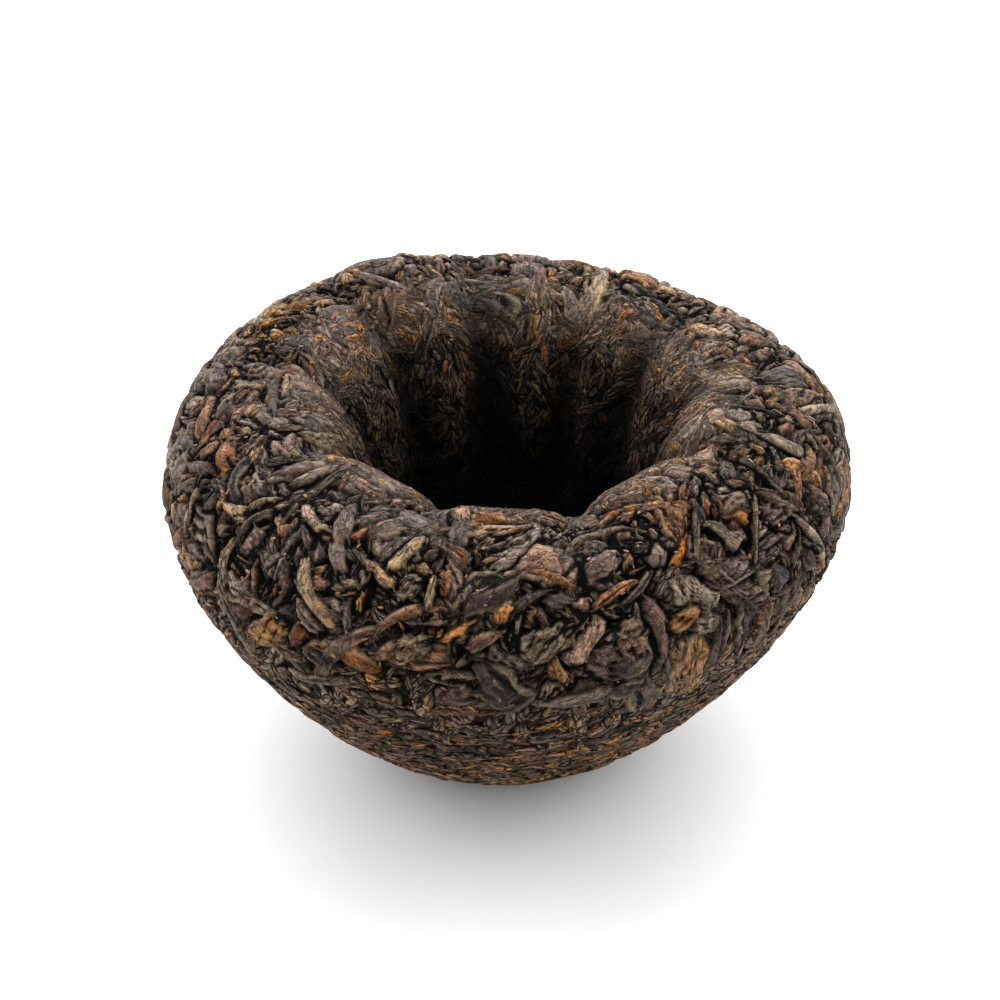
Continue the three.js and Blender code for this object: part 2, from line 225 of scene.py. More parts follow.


# Pressed tea leaf: dried and fermented leaf, dark brown to olive, mauve and grey, with a dull sheen where
# the mould pressed it flat; creased, mottled all over, paler where folds are rubbed, and near black with
# painted shade in its creases, folds, low parts and gaps.
LEAF_COLOURS = ("#17110f", "#28211e", "#39302c", "#4b3e38", "#5b4e43", "#6d5f4f", "#82715d", "#8a6f4a",
                "#6c4b30")
LEAF_RUBBED = colour("#988369")
LEAF_SPECK = colour("#a47c48")
# Near black of the painted shade: in creases, folds, low parts, gaps and the hollow.
LEAF_SHADE_BLACK = colour("#040302")
LEAF_MAUVE = (1.13, 0.97, 0.90, 1)
LEAF_OLIVE = (1.12, 1.0, 0.82, 1)
PATCH_SIZE = 2.4
MOTTLE_SIZE = 0.42
HUE_SIZE = 1.5
CREASE_SPACING = 1.3
CREASE_RELIEF = 0.22
BIT_LENGTH = 2.2
BIT_WIDTH = 0.62
BIT_BEND = (0.9, 0.9, 0)
CREASE_STRETCH = 0.65
MOTTLE_RELIEF = 0.4
PATCH_SPAN = (0.3, 0.7)
# Ranges: two values of what is given, then the two that they turn into.
BIT_TONES = (0, 1, -0.42, 0.5)
BIT_EDGES = (0.02, 0.16, 1, 0)
MAUVE_TO_OLIVE = (0.4, 0.6, 0, 1)
HUES = (0, 1, 0.481, 0.503)
RICHNESS = (0, 1, 0.72, 1.7)
LIGHTNESS = (0, 1, 0.92, 1.3)
MOTTLE_TONES = (0.32, 0.7, 0.4, 1.65)
FOLD_CURVE = (0, 0.05, 0, 1)
# Painted shade in the creases: they darken the colour to half.
CREASE_SHADE = (0, 1, 0.5, 1)
RUBBED_FOLDS = (0.02, 0.22, 0, 0.4)
SPECKS = (0.66, 0.74, 0, 0.7)
# Painted shade towards near black: in a leaf's hollow folds, where it lies low, and in the gaps.
DARK_FOLDS = (-0.14, 0, 0.9, 0)
DARK_DEPTHS = (-0.85, 0, 1, 0)
DARK_GAPS = (0.25, 0.7, 0, 1)
LEAF_GLOSS = (0.3, 0.7, 0.40, 0.60)
LEAF_IOR = 1.45
LEAF_SPECULAR = 0.16


def pressed_leaf(name, codes, patchy, varied=0.0):
    """Pressed leaf in a row of colours, darkest first; patchy is how far one leaf varies along the row, and
    varied how far one leaf or bit differs from the next in hue, from slate to russet."""
    material = bpy.data.materials.new(name)
    material.use_nodes = True
    tree = material.node_tree
    shader = tree.nodes["Principled BSDF"]
    grain = add(tree, "ShaderNodeAttribute", attribute_name="grain").outputs["Vector"]
    tint, lift, wear, gap, bits, shade = (
        add(tree, "ShaderNodeAttribute", attribute_name=key).outputs["Fac"]
        for key in ("tint", "lift", "wear", "gap", "bits", "shade"))

    # The bits that a leaf is broken into, each with a tone of its own and a line of painted shade round it.
    bend = add(tree, "ShaderNodeTexNoise", {"Vector": grain, "Scale": 1 / HUE_SIZE, "Detail": 2})
    bent = add(tree, "ShaderNodeVectorMath", {0: bend.outputs[1], 1: BIT_BEND, 2: grain},
               operation="MULTIPLY_ADD")
    sized = add(tree, "ShaderNodeMapping",
                {"Vector": bent.outputs[0], "Scale": (1 / BIT_LENGTH, 1 / BIT_WIDTH, 1)})
    bit = add(tree, "ShaderNodeTexVoronoi", {"Vector": sized.outputs[0], "Scale": 1.0})
    edge = add(tree, "ShaderNodeTexVoronoi", {"Vector": sized.outputs[0], "Scale": 1.0},
               feature="DISTANCE_TO_EDGE")
    bit_tone = add(tree, "ShaderNodeSeparateColor", {0: bit.outputs["Color"]})
    bit_shift = add(tree, "ShaderNodeMapRange", enumerate((bit_tone.outputs[0], *BIT_TONES)))
    bit_by = add(tree, "ShaderNodeMath", {0: bit_shift.outputs[0], 1: bits}, operation="MULTIPLY")
    bit_edge = add(tree, "ShaderNodeMapRange", enumerate((edge.outputs["Distance"], *BIT_EDGES)))
    bit_gap_shade = add(tree, "ShaderNodeMath", {0: bit_edge.outputs[0], 1: bits}, operation="MULTIPLY")

    # The colour: where it lies in the row, the leaf's own cast of hue, and its mottling.
    patches = add(tree, "ShaderNodeTexNoise", {"Vector": grain, "Scale": 1 / PATCH_SIZE, "Detail": 2})
    shift = add(tree, "ShaderNodeMapRange", enumerate((patches.outputs[0], *PATCH_SPAN, -patchy, patchy)))
    moved = add(tree, "ShaderNodeMath", {0: tint, 1: shift.outputs[0]}, operation="ADD")
    toned_by = add(tree, "ShaderNodeMath", {0: moved.outputs[0], 1: bit_by.outputs[0]}, operation="ADD",
                   use_clamp=True)
    ramp = add(tree, "ShaderNodeValToRGB", {"Fac": toned_by.outputs[0]})
    stops = ramp.color_ramp.elements
    for at in np.linspace(0, 1, len(codes))[1:-1]:
        stops.new(at)
    for stop, code in zip(stops, codes):
        stop.color = colour(code)
    hue = add(tree, "ShaderNodeMapRange", enumerate((bend.outputs[0], *MAUVE_TO_OLIVE)))
    hued = add(tree, "ShaderNodeMix", {0: hue.outputs[0], 6: LEAF_MAUVE, 7: LEAF_OLIVE}, data_type="RGBA")
    leaning = add(tree, "ShaderNodeMix", {0: 1.0, 6: ramp.outputs[0], 7: hued.outputs[2]},
                  data_type="RGBA", blend_type="MULTIPLY")
    number = add(tree, "ShaderNodeSeparateXYZ", {0: grain})
    own = add(tree, "ShaderNodeTexVoronoi", {"W": number.outputs[2], "Scale": 1.0}, voronoi_dimensions="1D")
    kind = add(tree, "ShaderNodeMix", {0: bits, 6: own.outputs["Color"], 7: bit.outputs["Color"]},
               data_type="RGBA")
    kinds = add(tree, "ShaderNodeSeparateColor", {0: kind.outputs[2]})
    rare = add(tree, "ShaderNodeMath", {0: kinds.outputs[2], 1: 2.0}, operation="POWER")
    redder = add(tree, "ShaderNodeMapRange", enumerate((kinds.outputs[1], *HUES)))
    richer = add(tree, "ShaderNodeMapRange", enumerate((rare.outputs[0], *RICHNESS)))
    lighter = add(tree, "ShaderNodeMapRange", enumerate((rare.outputs[0], *LIGHTNESS)))
    cast = add(tree, "ShaderNodeHueSaturation",
               {"Hue": redder.outputs[0], "Saturation": richer.outputs[0], "Value": lighter.outputs[0],
                "Fac": varied, "Color": leaning.outputs[2]})
    mottle = add(tree, "ShaderNodeTexNoise",
                 {"Vector": grain, "Scale": 1 / MOTTLE_SIZE, "Detail": 3, "Roughness": 0.65})
    mottled = add(tree, "ShaderNodeMapRange", enumerate((mottle.outputs[0], *MOTTLE_TONES)))
    toned = add(tree, "ShaderNodeMix", {0: 1.0, 6: cast.outputs[0], 7: mottled.outputs[0]},
                data_type="RGBA", blend_type="MULTIPLY")

    # Creases along the leaf, rubbed folds, specks, and painted shade in creases, folds, low parts, gaps and
    # the hollow.
    along_leaf = add(tree, "ShaderNodeMapping",
                     {"Vector": grain, "Scale": (CREASE_STRETCH / CREASE_SPACING, 1 / CREASE_SPACING, 1)})
    creases = add(tree, "ShaderNodeTexNoise",
                  {"Vector": along_leaf.outputs[0], "Scale": 1.0, "Detail": 3, "Roughness": 0.6,
                   "Distortion": 0.8})
    level = add(tree, "ShaderNodeMath", {0: creases.outputs[0], 1: 0.5}, operation="SUBTRACT")
    apart = add(tree, "ShaderNodeMath", {0: level.outputs[0]}, operation="ABSOLUTE")
    folds = add(tree, "ShaderNodeMapRange", enumerate((apart.outputs[0], *FOLD_CURVE)))
    # Painted shade: the colour darkens in the creases.
    crease_shade_by = add(tree, "ShaderNodeMapRange", enumerate((folds.outputs[0], *CREASE_SHADE)))
    crease_shaded = add(tree, "ShaderNodeMix", {0: 1.0, 6: toned.outputs[2], 7: crease_shade_by.outputs[0]},
                  data_type="RGBA", blend_type="MULTIPLY")
    rubbed_by = add(tree, "ShaderNodeMapRange", enumerate((wear, *RUBBED_FOLDS)))
    rubbed = add(tree, "ShaderNodeMix", {0: rubbed_by.outputs[0], 6: crease_shaded.outputs[2], 7: LEAF_RUBBED},
                 data_type="RGBA")
    speck_by = add(tree, "ShaderNodeMapRange", enumerate((mottle.outputs[0], *SPECKS)))
    specked = add(tree, "ShaderNodeMix", {0: speck_by.outputs[0], 6: rubbed.outputs[2], 7: LEAF_SPECK},
                  data_type="RGBA")
    # Painted shade where the leaf bends in between its folds.
    fold_shade_by = add(tree, "ShaderNodeMapRange", enumerate((wear, *DARK_FOLDS)))
    # Painted shade where the leaf lies low among the others.
    depth_shade_by = add(tree, "ShaderNodeMapRange", enumerate((lift, *DARK_DEPTHS)))
    # Painted shade in the gaps between leaves.
    gap_shade_by = add(tree, "ShaderNodeMapRange", enumerate((gap, *DARK_GAPS)))
    # All the painted shade together; it takes the colour towards near black and dulls the sheen.
    painted_shade_by = fold_shade_by
    for other in (depth_shade_by, gap_shade_by, bit_gap_shade):
        painted_shade_by = add(tree, "ShaderNodeMath", {0: painted_shade_by.outputs[0], 1: other.outputs[0]},
                      operation="MAXIMUM")
    shade_painted = add(tree, "ShaderNodeMix", {0: painted_shade_by.outputs[0], 6: specked.outputs[2], 7: LEAF_SHADE_BLACK},
                   data_type="RGBA")
    shaded = add(tree, "ShaderNodeMix", {0: shade, 6: shade_painted.outputs[2], 7: LEAF_SHADE_BLACK}, data_type="RGBA")

    # The relief of the creases and the bits, and a sheen that the dark parts don't have.
    lowered = add(tree, "ShaderNodeMath", {0: folds.outputs[0], 1: bit_gap_shade.outputs[0]}, operation="SUBTRACT")
    raised = add(tree, "ShaderNodeMath", {0: mottle.outputs[0], 1: MOTTLE_RELIEF, 2: lowered.outputs[0]},
                 operation="MULTIPLY_ADD")
    bumped = add(tree, "ShaderNodeBump",
                 {"Height": raised.outputs[0], "Strength": 1.0, "Distance": CREASE_RELIEF * MM})
    gloss = add(tree, "ShaderNodeMapRange", enumerate((mottle.outputs[0], *LEAF_GLOSS)))
    dull_by = add(tree, "ShaderNodeMath", {0: painted_shade_by.outputs[0], 1: shade}, operation="MAXIMUM")
    dulled = add(tree, "ShaderNodeMath", {0: gloss.outputs[0], 1: dull_by.outputs[0]}, operation="MAXIMUM")
    tree.links.new(shaded.outputs[2], shader.inputs["Base Color"])
    tree.links.new(bumped.outputs[0], shader.inputs["Normal"])
    tree.links.new(dulled.outputs[0], shader.inputs["Roughness"])
    shader.inputs["IOR"].default_value = LEAF_IOR
    shader.inputs["Specular IOR Level"].default_value = LEAF_SPECULAR
    return material


leaf = pressed_leaf("pressed tea leaf", LEAF_COLOURS, 0.12, 1.0)
# Broken leaf: dark bits and dust, packed between the whole leaves.
broken = pressed_leaf("broken leaf", ("#090604", "#19130f", "#32261d", "#4e3d2e", "#694f34"), 0.1, 1.0)

CORE_AROUND = 120
CORE_STEP = 1.8
CORE_RELIEF = 0.18
PRESSED_FLAT = 0.42
# Painted shade of the hollow: from just inside the crest down, the leaf's colour is darkened towards near
# black, and in its creases too.
DARK_FROM = AT_CREST + 2
DARK_TO = AT_CREST + 30
DARK_IN_CREASES = 0.22
DARKEST = 0.96
CORE_BITS_RADIUS = 26
CORE_TINT = 0.4
# Painted shade: the core is darkened as if it lay low among the leaves.
CORE_LIFT = -0.3


def coarseness(along):
    """1 on the shoulder, where large leaf stands out, to 0 where the mould rubbed the cake smooth."""
    return np.interp(along, (AT_WIDEST - 3, AT_WIDEST + 3, AT_CREST - 2, AT_CREST + 5), (0, 1, 1, 0))


def flattened(height, along):
    return height * mix(PRESSED_FLAT, 1, coarseness(along))


def shade_at(azimuth, along):
    """How far the painted shade of the hollow and of its creases swallows the leaf's own colour."""
    shaded = np.clip((along - DARK_FROM) / (DARK_TO - DARK_FROM), 0, 1) ** 0.8
    return np.clip(shaded + DARK_IN_CREASES * crease_depth(azimuth, along), 0, DARKEST)


rng = np.random.default_rng(11)
core_along = np.arange(CORE_STEP, AT_FLOOR - CORE_STEP / 2, CORE_STEP)
core_azimuth = np.arange(CORE_AROUND) * 2 * np.pi / CORE_AROUND
azimuths, alongs = np.meshgrid(core_azimuth, core_along)
core_heights = flattened(rng.normal(-CORE_DEPTH, CORE_RELIEF, azimuths.shape), alongs)
core_points = skin(azimuths, alongs, core_heights).reshape(-1, 3)
foot_pole = AXIS + (0, 0, CORE_DEPTH * PRESSED_FLAT)
floor_pole = AXIS + (HOLLOW_SHIFT, 0, FLOOR_HEIGHT - CORE_DEPTH * PRESSED_FLAT)
core_points = np.vstack([core_points, foot_pole, floor_pole])
core_bits = np.stack([CORE_BITS_RADIUS * np.cos(azimuths), CORE_BITS_RADIUS * np.sin(azimuths), alongs], -1)
core_bits = np.vstack([core_bits.reshape(-1, 3), (0, 0, 0), (0, 0, AT_FLOOR)])
# The core takes the painted shade of the hollow; the pole at the hollow's floor is fully shaded.
core_shade = np.append(shade_at(azimuths, alongs).ravel(), (0, 1))
whole = np.ones(len(core_points))
ring = np.arange(CORE_AROUND)
beside = (ring + 1) % CORE_AROUND
last_row = (len(core_along) - 1) * CORE_AROUND
poles = len(core_points)
foot_fan = np.stack([beside, ring, np.full(CORE_AROUND, poles - 2)], -1)
floor_fan = np.stack([last_row + ring, last_row + beside, np.full(CORE_AROUND, poles - 1)], -1)
core = mesh_of("tuocha_core", core_points, [ring_quads(len(core_along), CORE_AROUND), foot_fan, floor_fan],
               grain=core_bits, shade=core_shade, bits=whole, tint=CORE_TINT * whole, lift=CORE_LIFT * whole)
core.data.materials.append(broken)
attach(core, "root")
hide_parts("tuocha")

# ---------------------------------------------------------------- Broken leaf under the whole leaves
# The lowest layer that shows: small torn bits of leaf, 3 to 6 mm long, that fill the gaps between the
# large leaves. Each leaf of the cake is laid by itself, on top of the ones that lie there already.
CELL = 0.24
BED_OVER_CORE = 0.2
PRESSED_TO = 0.1
SOFT_ON_SHOULDER = 0.24
SOFT_ELSEWHERE = 0.09
FOOT_PRESSED_BY = 0.75
FOOT_EASE = 3
TORN_CORNERS = 6
MOST_SKEW = 0.6
MOST_SLOPE = 0.35
SUPPORT_BY_HIGHEST = 0.3
INNER_SHARE = 0.85
TUCKED_TIPS = 0.8
UNDERSIDE = 0.35
POLE_MARGIN = 0.2
WALK_MARGIN = 0.3
FILL_COUNT = 1300
FILL_TRIES = 5
FILL_FROM = AT_WIDEST - 6
FILL_TO = AT_CREST + 5

cell_rows = np.arange(0, AT_FLOOR + CELL, CELL)
row_cells = np.maximum(8, np.round(2 * np.pi * radius_at(cell_rows) / CELL)).astype(int)
row_starts = np.concatenate([[0], np.cumsum(row_cells)])
pile = np.full(row_starts[-1], BED_OVER_CORE - CORE_DEPTH)
top_leaf = np.full(row_starts[-1], -1)
laid_pieces = []
leaf_total = 0


def cell(azimuth, along):
    row = np.clip((along / CELL).astype(int), 0, len(cell_rows) - 1)
    return row_starts[row] + ((azimuth / (2 * np.pi) % 1) * row_cells[row]).astype(int)


def pressed(height, along):
    """The mould presses down what stands up: the higher it stands, the more."""
    ceiling = PRESSED_TO - FOOT_PRESSED_BY * np.clip((FOOT_RADIUS - along) / FOOT_EASE + 1, 0, 1)
    soft = mix(SOFT_ELSEWHERE, SOFT_ON_SHOULDER, coarseness(along))
    over = np.maximum(height - ceiling, 0)
    return np.minimum(height, ceiling) + soft * np.log1p(over / soft)


def walk(azimuth, along, heading, bend, sway, length, stations):
    """Follows each leaf's midrib over the skin from its middle both ways."""
    half = stations // 2
    step = length / (2 * half)
    path = np.empty((3, stations) + np.broadcast(azimuth, length).shape)
    path[:, half] = azimuth, along, heading
    for way in (1, -1):
        here = path[:, half].copy()
        for i in range(1, half + 1):
            here[0] += way * np.cos(here[2]) * step / np.maximum(radius_at(here[1]), 2)
            here[1] += way * np.sin(here[2]) * step
            here[1] = np.clip(here[1], WALK_MARGIN, AT_FLOOR - WALK_MARGIN)
            here[2] += (way * bend + sway * i / half) * step
            path[:, half + way * i] = here
    return np.moveaxis(path, 1, -1)


def draw(rng, span, *shape):
    return rng.uniform(span[0], span[1], shape)


def draw_few_large(rng, span, *shape):
    return mix(span[0], span[1], rng.beta(1.3, 2.2, shape))


def between(rng, start, end, *shape):
    """Random places between two distances along the outline, spread evenly over the skin."""
    fine = np.linspace(start, end, 400)
    area = np.cumsum(radius_at(fine))
    return draw(rng, (0, 2 * np.pi), *shape), np.interp(rng.uniform(area[0], area[-1], shape), area, fine)


def crumple(rng, x, y, spacing, depth, slant):
    """Round folds with sharp creases between them that run along a leaf, from 0 down to -depth; spacing
    and depth in mm, and slant is how far the folds may lean from the leaf's own length."""
    count = len(x)
    total = 0
    for share in (0.45, 0.33, 0.22):
        pitch = draw(rng, spacing, count, 1, 1) * (0.5 + share)
        lean = draw(rng, (-slant, slant), count, 1, 1)
        bow = draw(rng, (0.1, 0.45), count, 1, 1) * np.sin(x * draw(rng, (0.5, 1.6), count, 1, 1)
                                                          + draw(rng, (0, 6.3), count, 1, 1))
        phase = draw(rng, (0, np.pi), count, 1, 1)
        total = total + share * (np.abs(np.sin(np.pi * (y + lean * x + bow) / pitch + phase)) ** 0.8 - 1)
    return draw(rng, depth, count, 1, 1) * total


def finer(count, reach):
    """Turns values at a leaf's stations into values at points closer together than the pile's cells."""
    at = np.linspace(0, count - 1, max(count, math.ceil(reach / CELL * 1.3)))
    return np.maximum(0, 1 - np.abs(at[:, None] - np.arange(count)))


def flat_leaves(rng, length, width, thick, stations, across, form, blunt, tilt, ragged, taper):
    """Leaves before they are laid: their points along and across each leaf in mm, the relief of their
    upper faces, how full they are from tip to tip, and how far they are skewed."""
    count = len(length)
    run = np.linspace(-1, 1, stations)
    over = np.linspace(-1, 1, across)
    square = draw(rng, blunt, count, 1)
    ends = (1 - np.abs(run) ** square * 0.97) ** 0.5
    slim = 1 + run * draw(rng, taper, count, 1)
    corners = np.linspace(-1, 1, TORN_CORNERS)
    hats = np.maximum(0, 1 - np.abs(run[:, None] - corners) * (TORN_CORNERS - 1) / 2)
    torn = [1 + hats @ draw(rng, (-ragged, ragged), TORN_CORNERS, count) for side in (0, 1)]
    sides = [ends * slim * t.T * width[:, None] / 2 for t in torn]
    skew = draw(rng, (-MOST_SKEW, MOST_SKEW), count)
    y = np.where(over < 0, sides[0][..., None], sides[1][..., None]) * over
    x = (run * length[:, None] / 2)[..., None] + 0 * y
    thick = thick[:, None, None]
    shape = form(rng, x, y, run[:, None], over[None, :], thick)
    tuck = (1 - ends)[..., None] * thick
    lean = draw(rng, (-tilt[0], tilt[0]), count, 1, 1) * y + draw(rng, (-tilt[1], tilt[1]), count, 1, 1) * x
    return x, y, shape * ends[..., None] + lean - TUCKED_TIPS * tuck, ends, skew


def lay(paths, y, shape, ends, skew, thick, longest, widest_leaf):
    """Lays each leaf on the pile where it finds the lowest of its paths. Returns the azimuth, along and
    height of its upper face's points, and the height of its underside."""
    global leaf_total
    count, stations, across = y.shape
    laid = np.empty((3, count, stations, across))
    rest = np.empty((count, stations))
    inner = np.abs(np.linspace(-1, 1, across)) < INNER_SHARE
    along_finer = finer(stations, longest)
    across_finer = finer(across, 1.3 * widest_leaf).T
    spread = (y ** 2).sum(-1) + 1e-6
    for i in range(count):
        beneath_path = pile[cell(paths[0, i], paths[1, i])].mean(-1)
        az, al, turned = paths[:, i, beneath_path.argmin()]
        away = np.maximum(radius_at(al), 2)[:, None]
        sine, cosine = np.sin(turned)[:, None], np.cos(turned)[:, None]
        a = az[:, None] + (cosine * skew[i] - sine) * y[i] / away
        b = np.clip(al[:, None] + (sine * skew[i] + cosine) * y[i], POLE_MARGIN, AT_FLOOR - POLE_MARGIN)
        beneath = pile[cell(a, b)]
        support = mix(beneath[:, inner].mean(1), beneath[:, inner].max(1), SUPPORT_BY_HIGHEST)
        slope = np.clip((beneath * y[i]).sum(1) / spread[i], -MOST_SLOPE, MOST_SLOPE)
        for _ in range(3):
            support[1:-1] = (support[:-2] + 2 * support[1:-1] + support[2:]) / 4
            slope[1:-1] = (slope[:-2] + 2 * slope[1:-1] + slope[2:]) / 4
        top = pressed(support[:, None] + slope[:, None] * y[i] + shape[i], b)
        laid[:, i] = a, b, top
        rest[i] = np.minimum(support, top.min(1)) - UNDERSIDE * thick[i] * ends[i]
        fine = [along_finer @ f @ across_finer for f in (a, b, top)]
        spots, reach = cell(fine[0], fine[1]).ravel(), fine[2].ravel()
        np.maximum.at(pile, spots, reach)
        top_leaf[spots[reach >= pile[spots] - 1e-6]] = leaf_total + i
    leaf_total += count
    return laid, rest


def leaf_faces(count, stations, around):
    """The quads round each leaf and the triangles that close its two tips."""
    per_leaf = stations * around + 2
    first = (np.arange(count) * per_leaf)[:, None, None]
    station = (np.arange(stations - 1) * around)[:, None]
    k = np.arange(around)
    nxt = (k + 1) % around
    quads = first[..., None] + np.stack(
        [station + k, station + around + k, station + around + nxt, station + nxt], -1)
    start = first + np.stack([k, nxt, np.full(around, per_leaf - 2)], -1)
    finish = first + np.stack(
        [station[-1] + around + nxt, station[-1] + around + k, np.full(around, per_leaf - 1)], -1)
    return [quads.reshape(-1, 4), start.reshape(-1, 3), finish.reshape(-1, 3)]


def with_tips(values):
    """Values of leaf by station by point, in a row for each leaf that ends with the values of its tips."""
    count, stations, around = values.shape[:3]
    flat = values.reshape((count, stations * around) + values.shape[3:])
    return np.concatenate([flat, values[:, [0, -1]].mean(2)], 1).reshape((-1,) + values.shape[3:])


def leaves(name, material, rng, places, bend, length, width, thick, stations, across, form, blunt, tint,
           tilt=(0.12, 0.05), ragged=0.4, taper=(-0.4, 0.4), bits=0.0):
    """Lays leaves one by one and makes one mesh of them. places are the azimuth, along and heading of each
    leaf's possible middles, in arrays of leaf by place, or of all stations of its midrib; form returns the
    relief of each leaf's upper face; bits is how far the leaf is broken into small bits."""
    places = np.stack(places)
    count = places.shape[1]
    length = draw_few_large(rng, length, count) if isinstance(length, tuple) else length
    width = draw_few_large(rng, width, count) if isinstance(width, tuple) else width
    thick = draw(rng, thick, count)
    paths = places
    if places.ndim == 3:
        bends = draw(rng, (-bend, bend), count, 1)
        sways = draw(rng, (-bend, bend), count, 1)
        paths = walk(*places, bends, sways, length[:, None], stations)
    x, y, shape, ends, skew = flat_leaves(
        rng, length, width, thick, stations, across, form, blunt, tilt, ragged, taper)
    laid, rest = lay(paths, y, shape, ends, skew, thick, length.max(), width.max())

    middle = across // 2
    under = np.stack([laid[0][..., middle], laid[1][..., middle], rest])[..., None]
    number = np.broadcast_to(rng.uniform(0, 90, count)[:, None, None], x.shape)
    grain = np.stack([x, y, number], -1)
    # How far each point bulges from its neighbours: where it bulges the leaf is rubbed paler, where it bends
    # in painted shade darkens it.
    bulge = shape - (np.roll(shape, 1, -1) + np.roll(shape, -1, -1)) / 2
    bulge[..., [0, -1]] = 0
    wear = np.concatenate([bulge, np.zeros((count, stations, 1))], -1)
    azimuths, alongs, heights = (with_tips(value) for value in np.concatenate([laid, under], -1))
    faces = leaf_faces(count, stations, across + 1)
    tints = np.repeat(tint(rng, count), len(heights) // count)
    piece = mesh_of(
        name, skin(azimuths, alongs, heights), faces, tint=tints, wear=with_tips(wear),
        grain=with_tips(np.concatenate([grain, grain[:, :, [middle]]], 2)), bits=np.full(len(heights), bits))
    laid_pieces.append((piece, azimuths, alongs, heights))
    piece.data.materials.append(material)
    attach(piece, "root")


def any_heading(rng, *shape):
    return draw(rng, (0, 2 * np.pi), *shape)


def torn_form(rng, x, y, run, over, thick):
    flat = 1 - np.abs(over) ** 5
    return thick * (1.3 * flat - 0.3) + crumple(rng, x, y, (0.8, 1.4), (0.05, 0.25), 0.4)


# The bits under the large leaves take the darker end of the row: painted shade for the gaps in which they
# show.
def dark_tint(rng, count):
    return 0.8 * rng.beta(1.3, 2.4, count)


rng = np.random.default_rng(21)
fill_places = between(rng, FILL_FROM, FILL_TO, FILL_COUNT, FILL_TRIES)
leaves("torn_leaf", leaf, rng, (*fill_places, any_heading(rng, FILL_COUNT, FILL_TRIES)), bend=0.06,
       length=(2.8, 6.5), width=(1.3, 3.0), thick=(0.6, 1.0), stations=7, across=5,
       form=torn_form, blunt=(2, 5), tint=dark_tint, ragged=0.2, taper=(0, 0), bits=1.0)

# ---------------------------------------------------------------- Level leaves of the flank
# Turning in the mould lays the leaves of the flank level and presses them flush: long thin blades and
# stalks, one beside the other round the cone.
FLANK_FROM = FOOT_RADIUS - 3
FLANK_TO = AT_WIDEST + 4
FLANK_COUNT = 1350
FLANK_TRIES = 8
FLANK_SPREAD = 14
ASTRAY = 0.2


def level_heading(rng, spread, *shape):
    astray = np.where(rng.random(shape) < ASTRAY, 3, 1)
    return rng.normal(0, np.radians(spread), shape) * astray + np.pi * rng.integers(0, 2, shape)


def blade_form(rng, x, y, run, over, thick):
    flat = 1 - np.abs(over) ** 8
    return thick * (1.2 * flat - 0.2) + crumple(rng, x, y, (0.45, 1.0), (0.05, 0.25), 0.15)


# Flank leaf: the same leaf, finer and browner, without the grey bloom of the show side; its row is set
# lighter too, painted light for the flank that the lamps light less.
FLANK_COLOURS = ("#1c150e", "#31231b", "#443428", "#584432", "#6b543d", "#816748", "#987b54", "#a17743",
                 "#80502a")
flank_mix = pressed_leaf("flank leaf", FLANK_COLOURS, 0.12, 1.0)


def leaf_tint(rng, count):
    return 0.06 + 0.72 * rng.beta(1.7, 1.8, count)


rng = np.random.default_rng(31)
flank_places = between(rng, FLANK_FROM, FLANK_TO, FLANK_COUNT, FLANK_TRIES)
flank_headings = level_heading(rng, FLANK_SPREAD, FLANK_COUNT, FLANK_TRIES)
leaves("flank_leaf", flank_mix, rng, (*flank_places, flank_headings), bend=0.03,
       length=(3, 12), width=(0.9, 2.9), thick=(0.45, 0.7), stations=9, across=6,
       form=blade_form, blunt=(1.6, 4), tint=leaf_tint, tilt=(0.06, 0.02), bits=1.0)

# ---------------------------------------------------------------- Fine leaf of the hollow
# The plug of the mould smears short leaf down the wall of the hollow, so its bits run downwards. They
# are pressed as flush as on the flank, and painted shade darkens them the deeper they lie.
HOLLOW_FROM = mix(AT_CREST, AT_THROAT, 0.25)
HOLLOW_TO = AT_FLOOR - 4
HOLLOW_COUNT = 950
HOLLOW_TRIES = 6
HOLLOW_SPREAD = 25


def down_heading(rng, spread, *shape):
    return np.pi / 2 + rng.normal(0, np.radians(spread), shape)


rng = np.random.default_rng(41)
hollow_places = between(rng, HOLLOW_FROM, HOLLOW_TO, HOLLOW_COUNT, HOLLOW_TRIES)
hollow_headings = down_heading(rng, HOLLOW_SPREAD, HOLLOW_COUNT, HOLLOW_TRIES)
leaves("hollow_leaf", leaf, rng, (*hollow_places, hollow_headings), bend=0.08,
       length=(3, 9), width=(1.0, 2.8), thick=(0.45, 0.7), stations=9, across=7,
       form=blade_form, blunt=(1.6, 4), tint=leaf_tint, tilt=(0.06, 0.02), bits=1.0)

# ---------------------------------------------------------------- Large leaves of the shoulder and rim
# The best leaf is laid on the show side: rolled strands, flat torn flakes and crumpled leaves up to
# 15 mm long, pressed into one another at every angle.
SHOULDER_FROM = AT_WIDEST + 1
SHOULDER_TO = AT_CREST + 3
EDGE_WAVES = ((2, 1.6, 40), (5, 1.5, 110), (9, 1.0, 10))
STRANDS = {"rolled_strand": 110, "rolled_strand_over": 115}
CRUMPLED_COUNT = 140
FLAKE_COUNT = 180
SHOULDER_TRIES = 8


def rolled_edge(rng, over, thick):
    """Half of the leaves have one edge rolled up."""
    rolls = rng.integers(0, 2, (len(thick), 1, 1)) * thick
    side = rng.choice((-0.7, 0.7), (len(thick), 1, 1))
    return 0.7 * rolls * np.exp(-((over - side) / 0.18) ** 2)


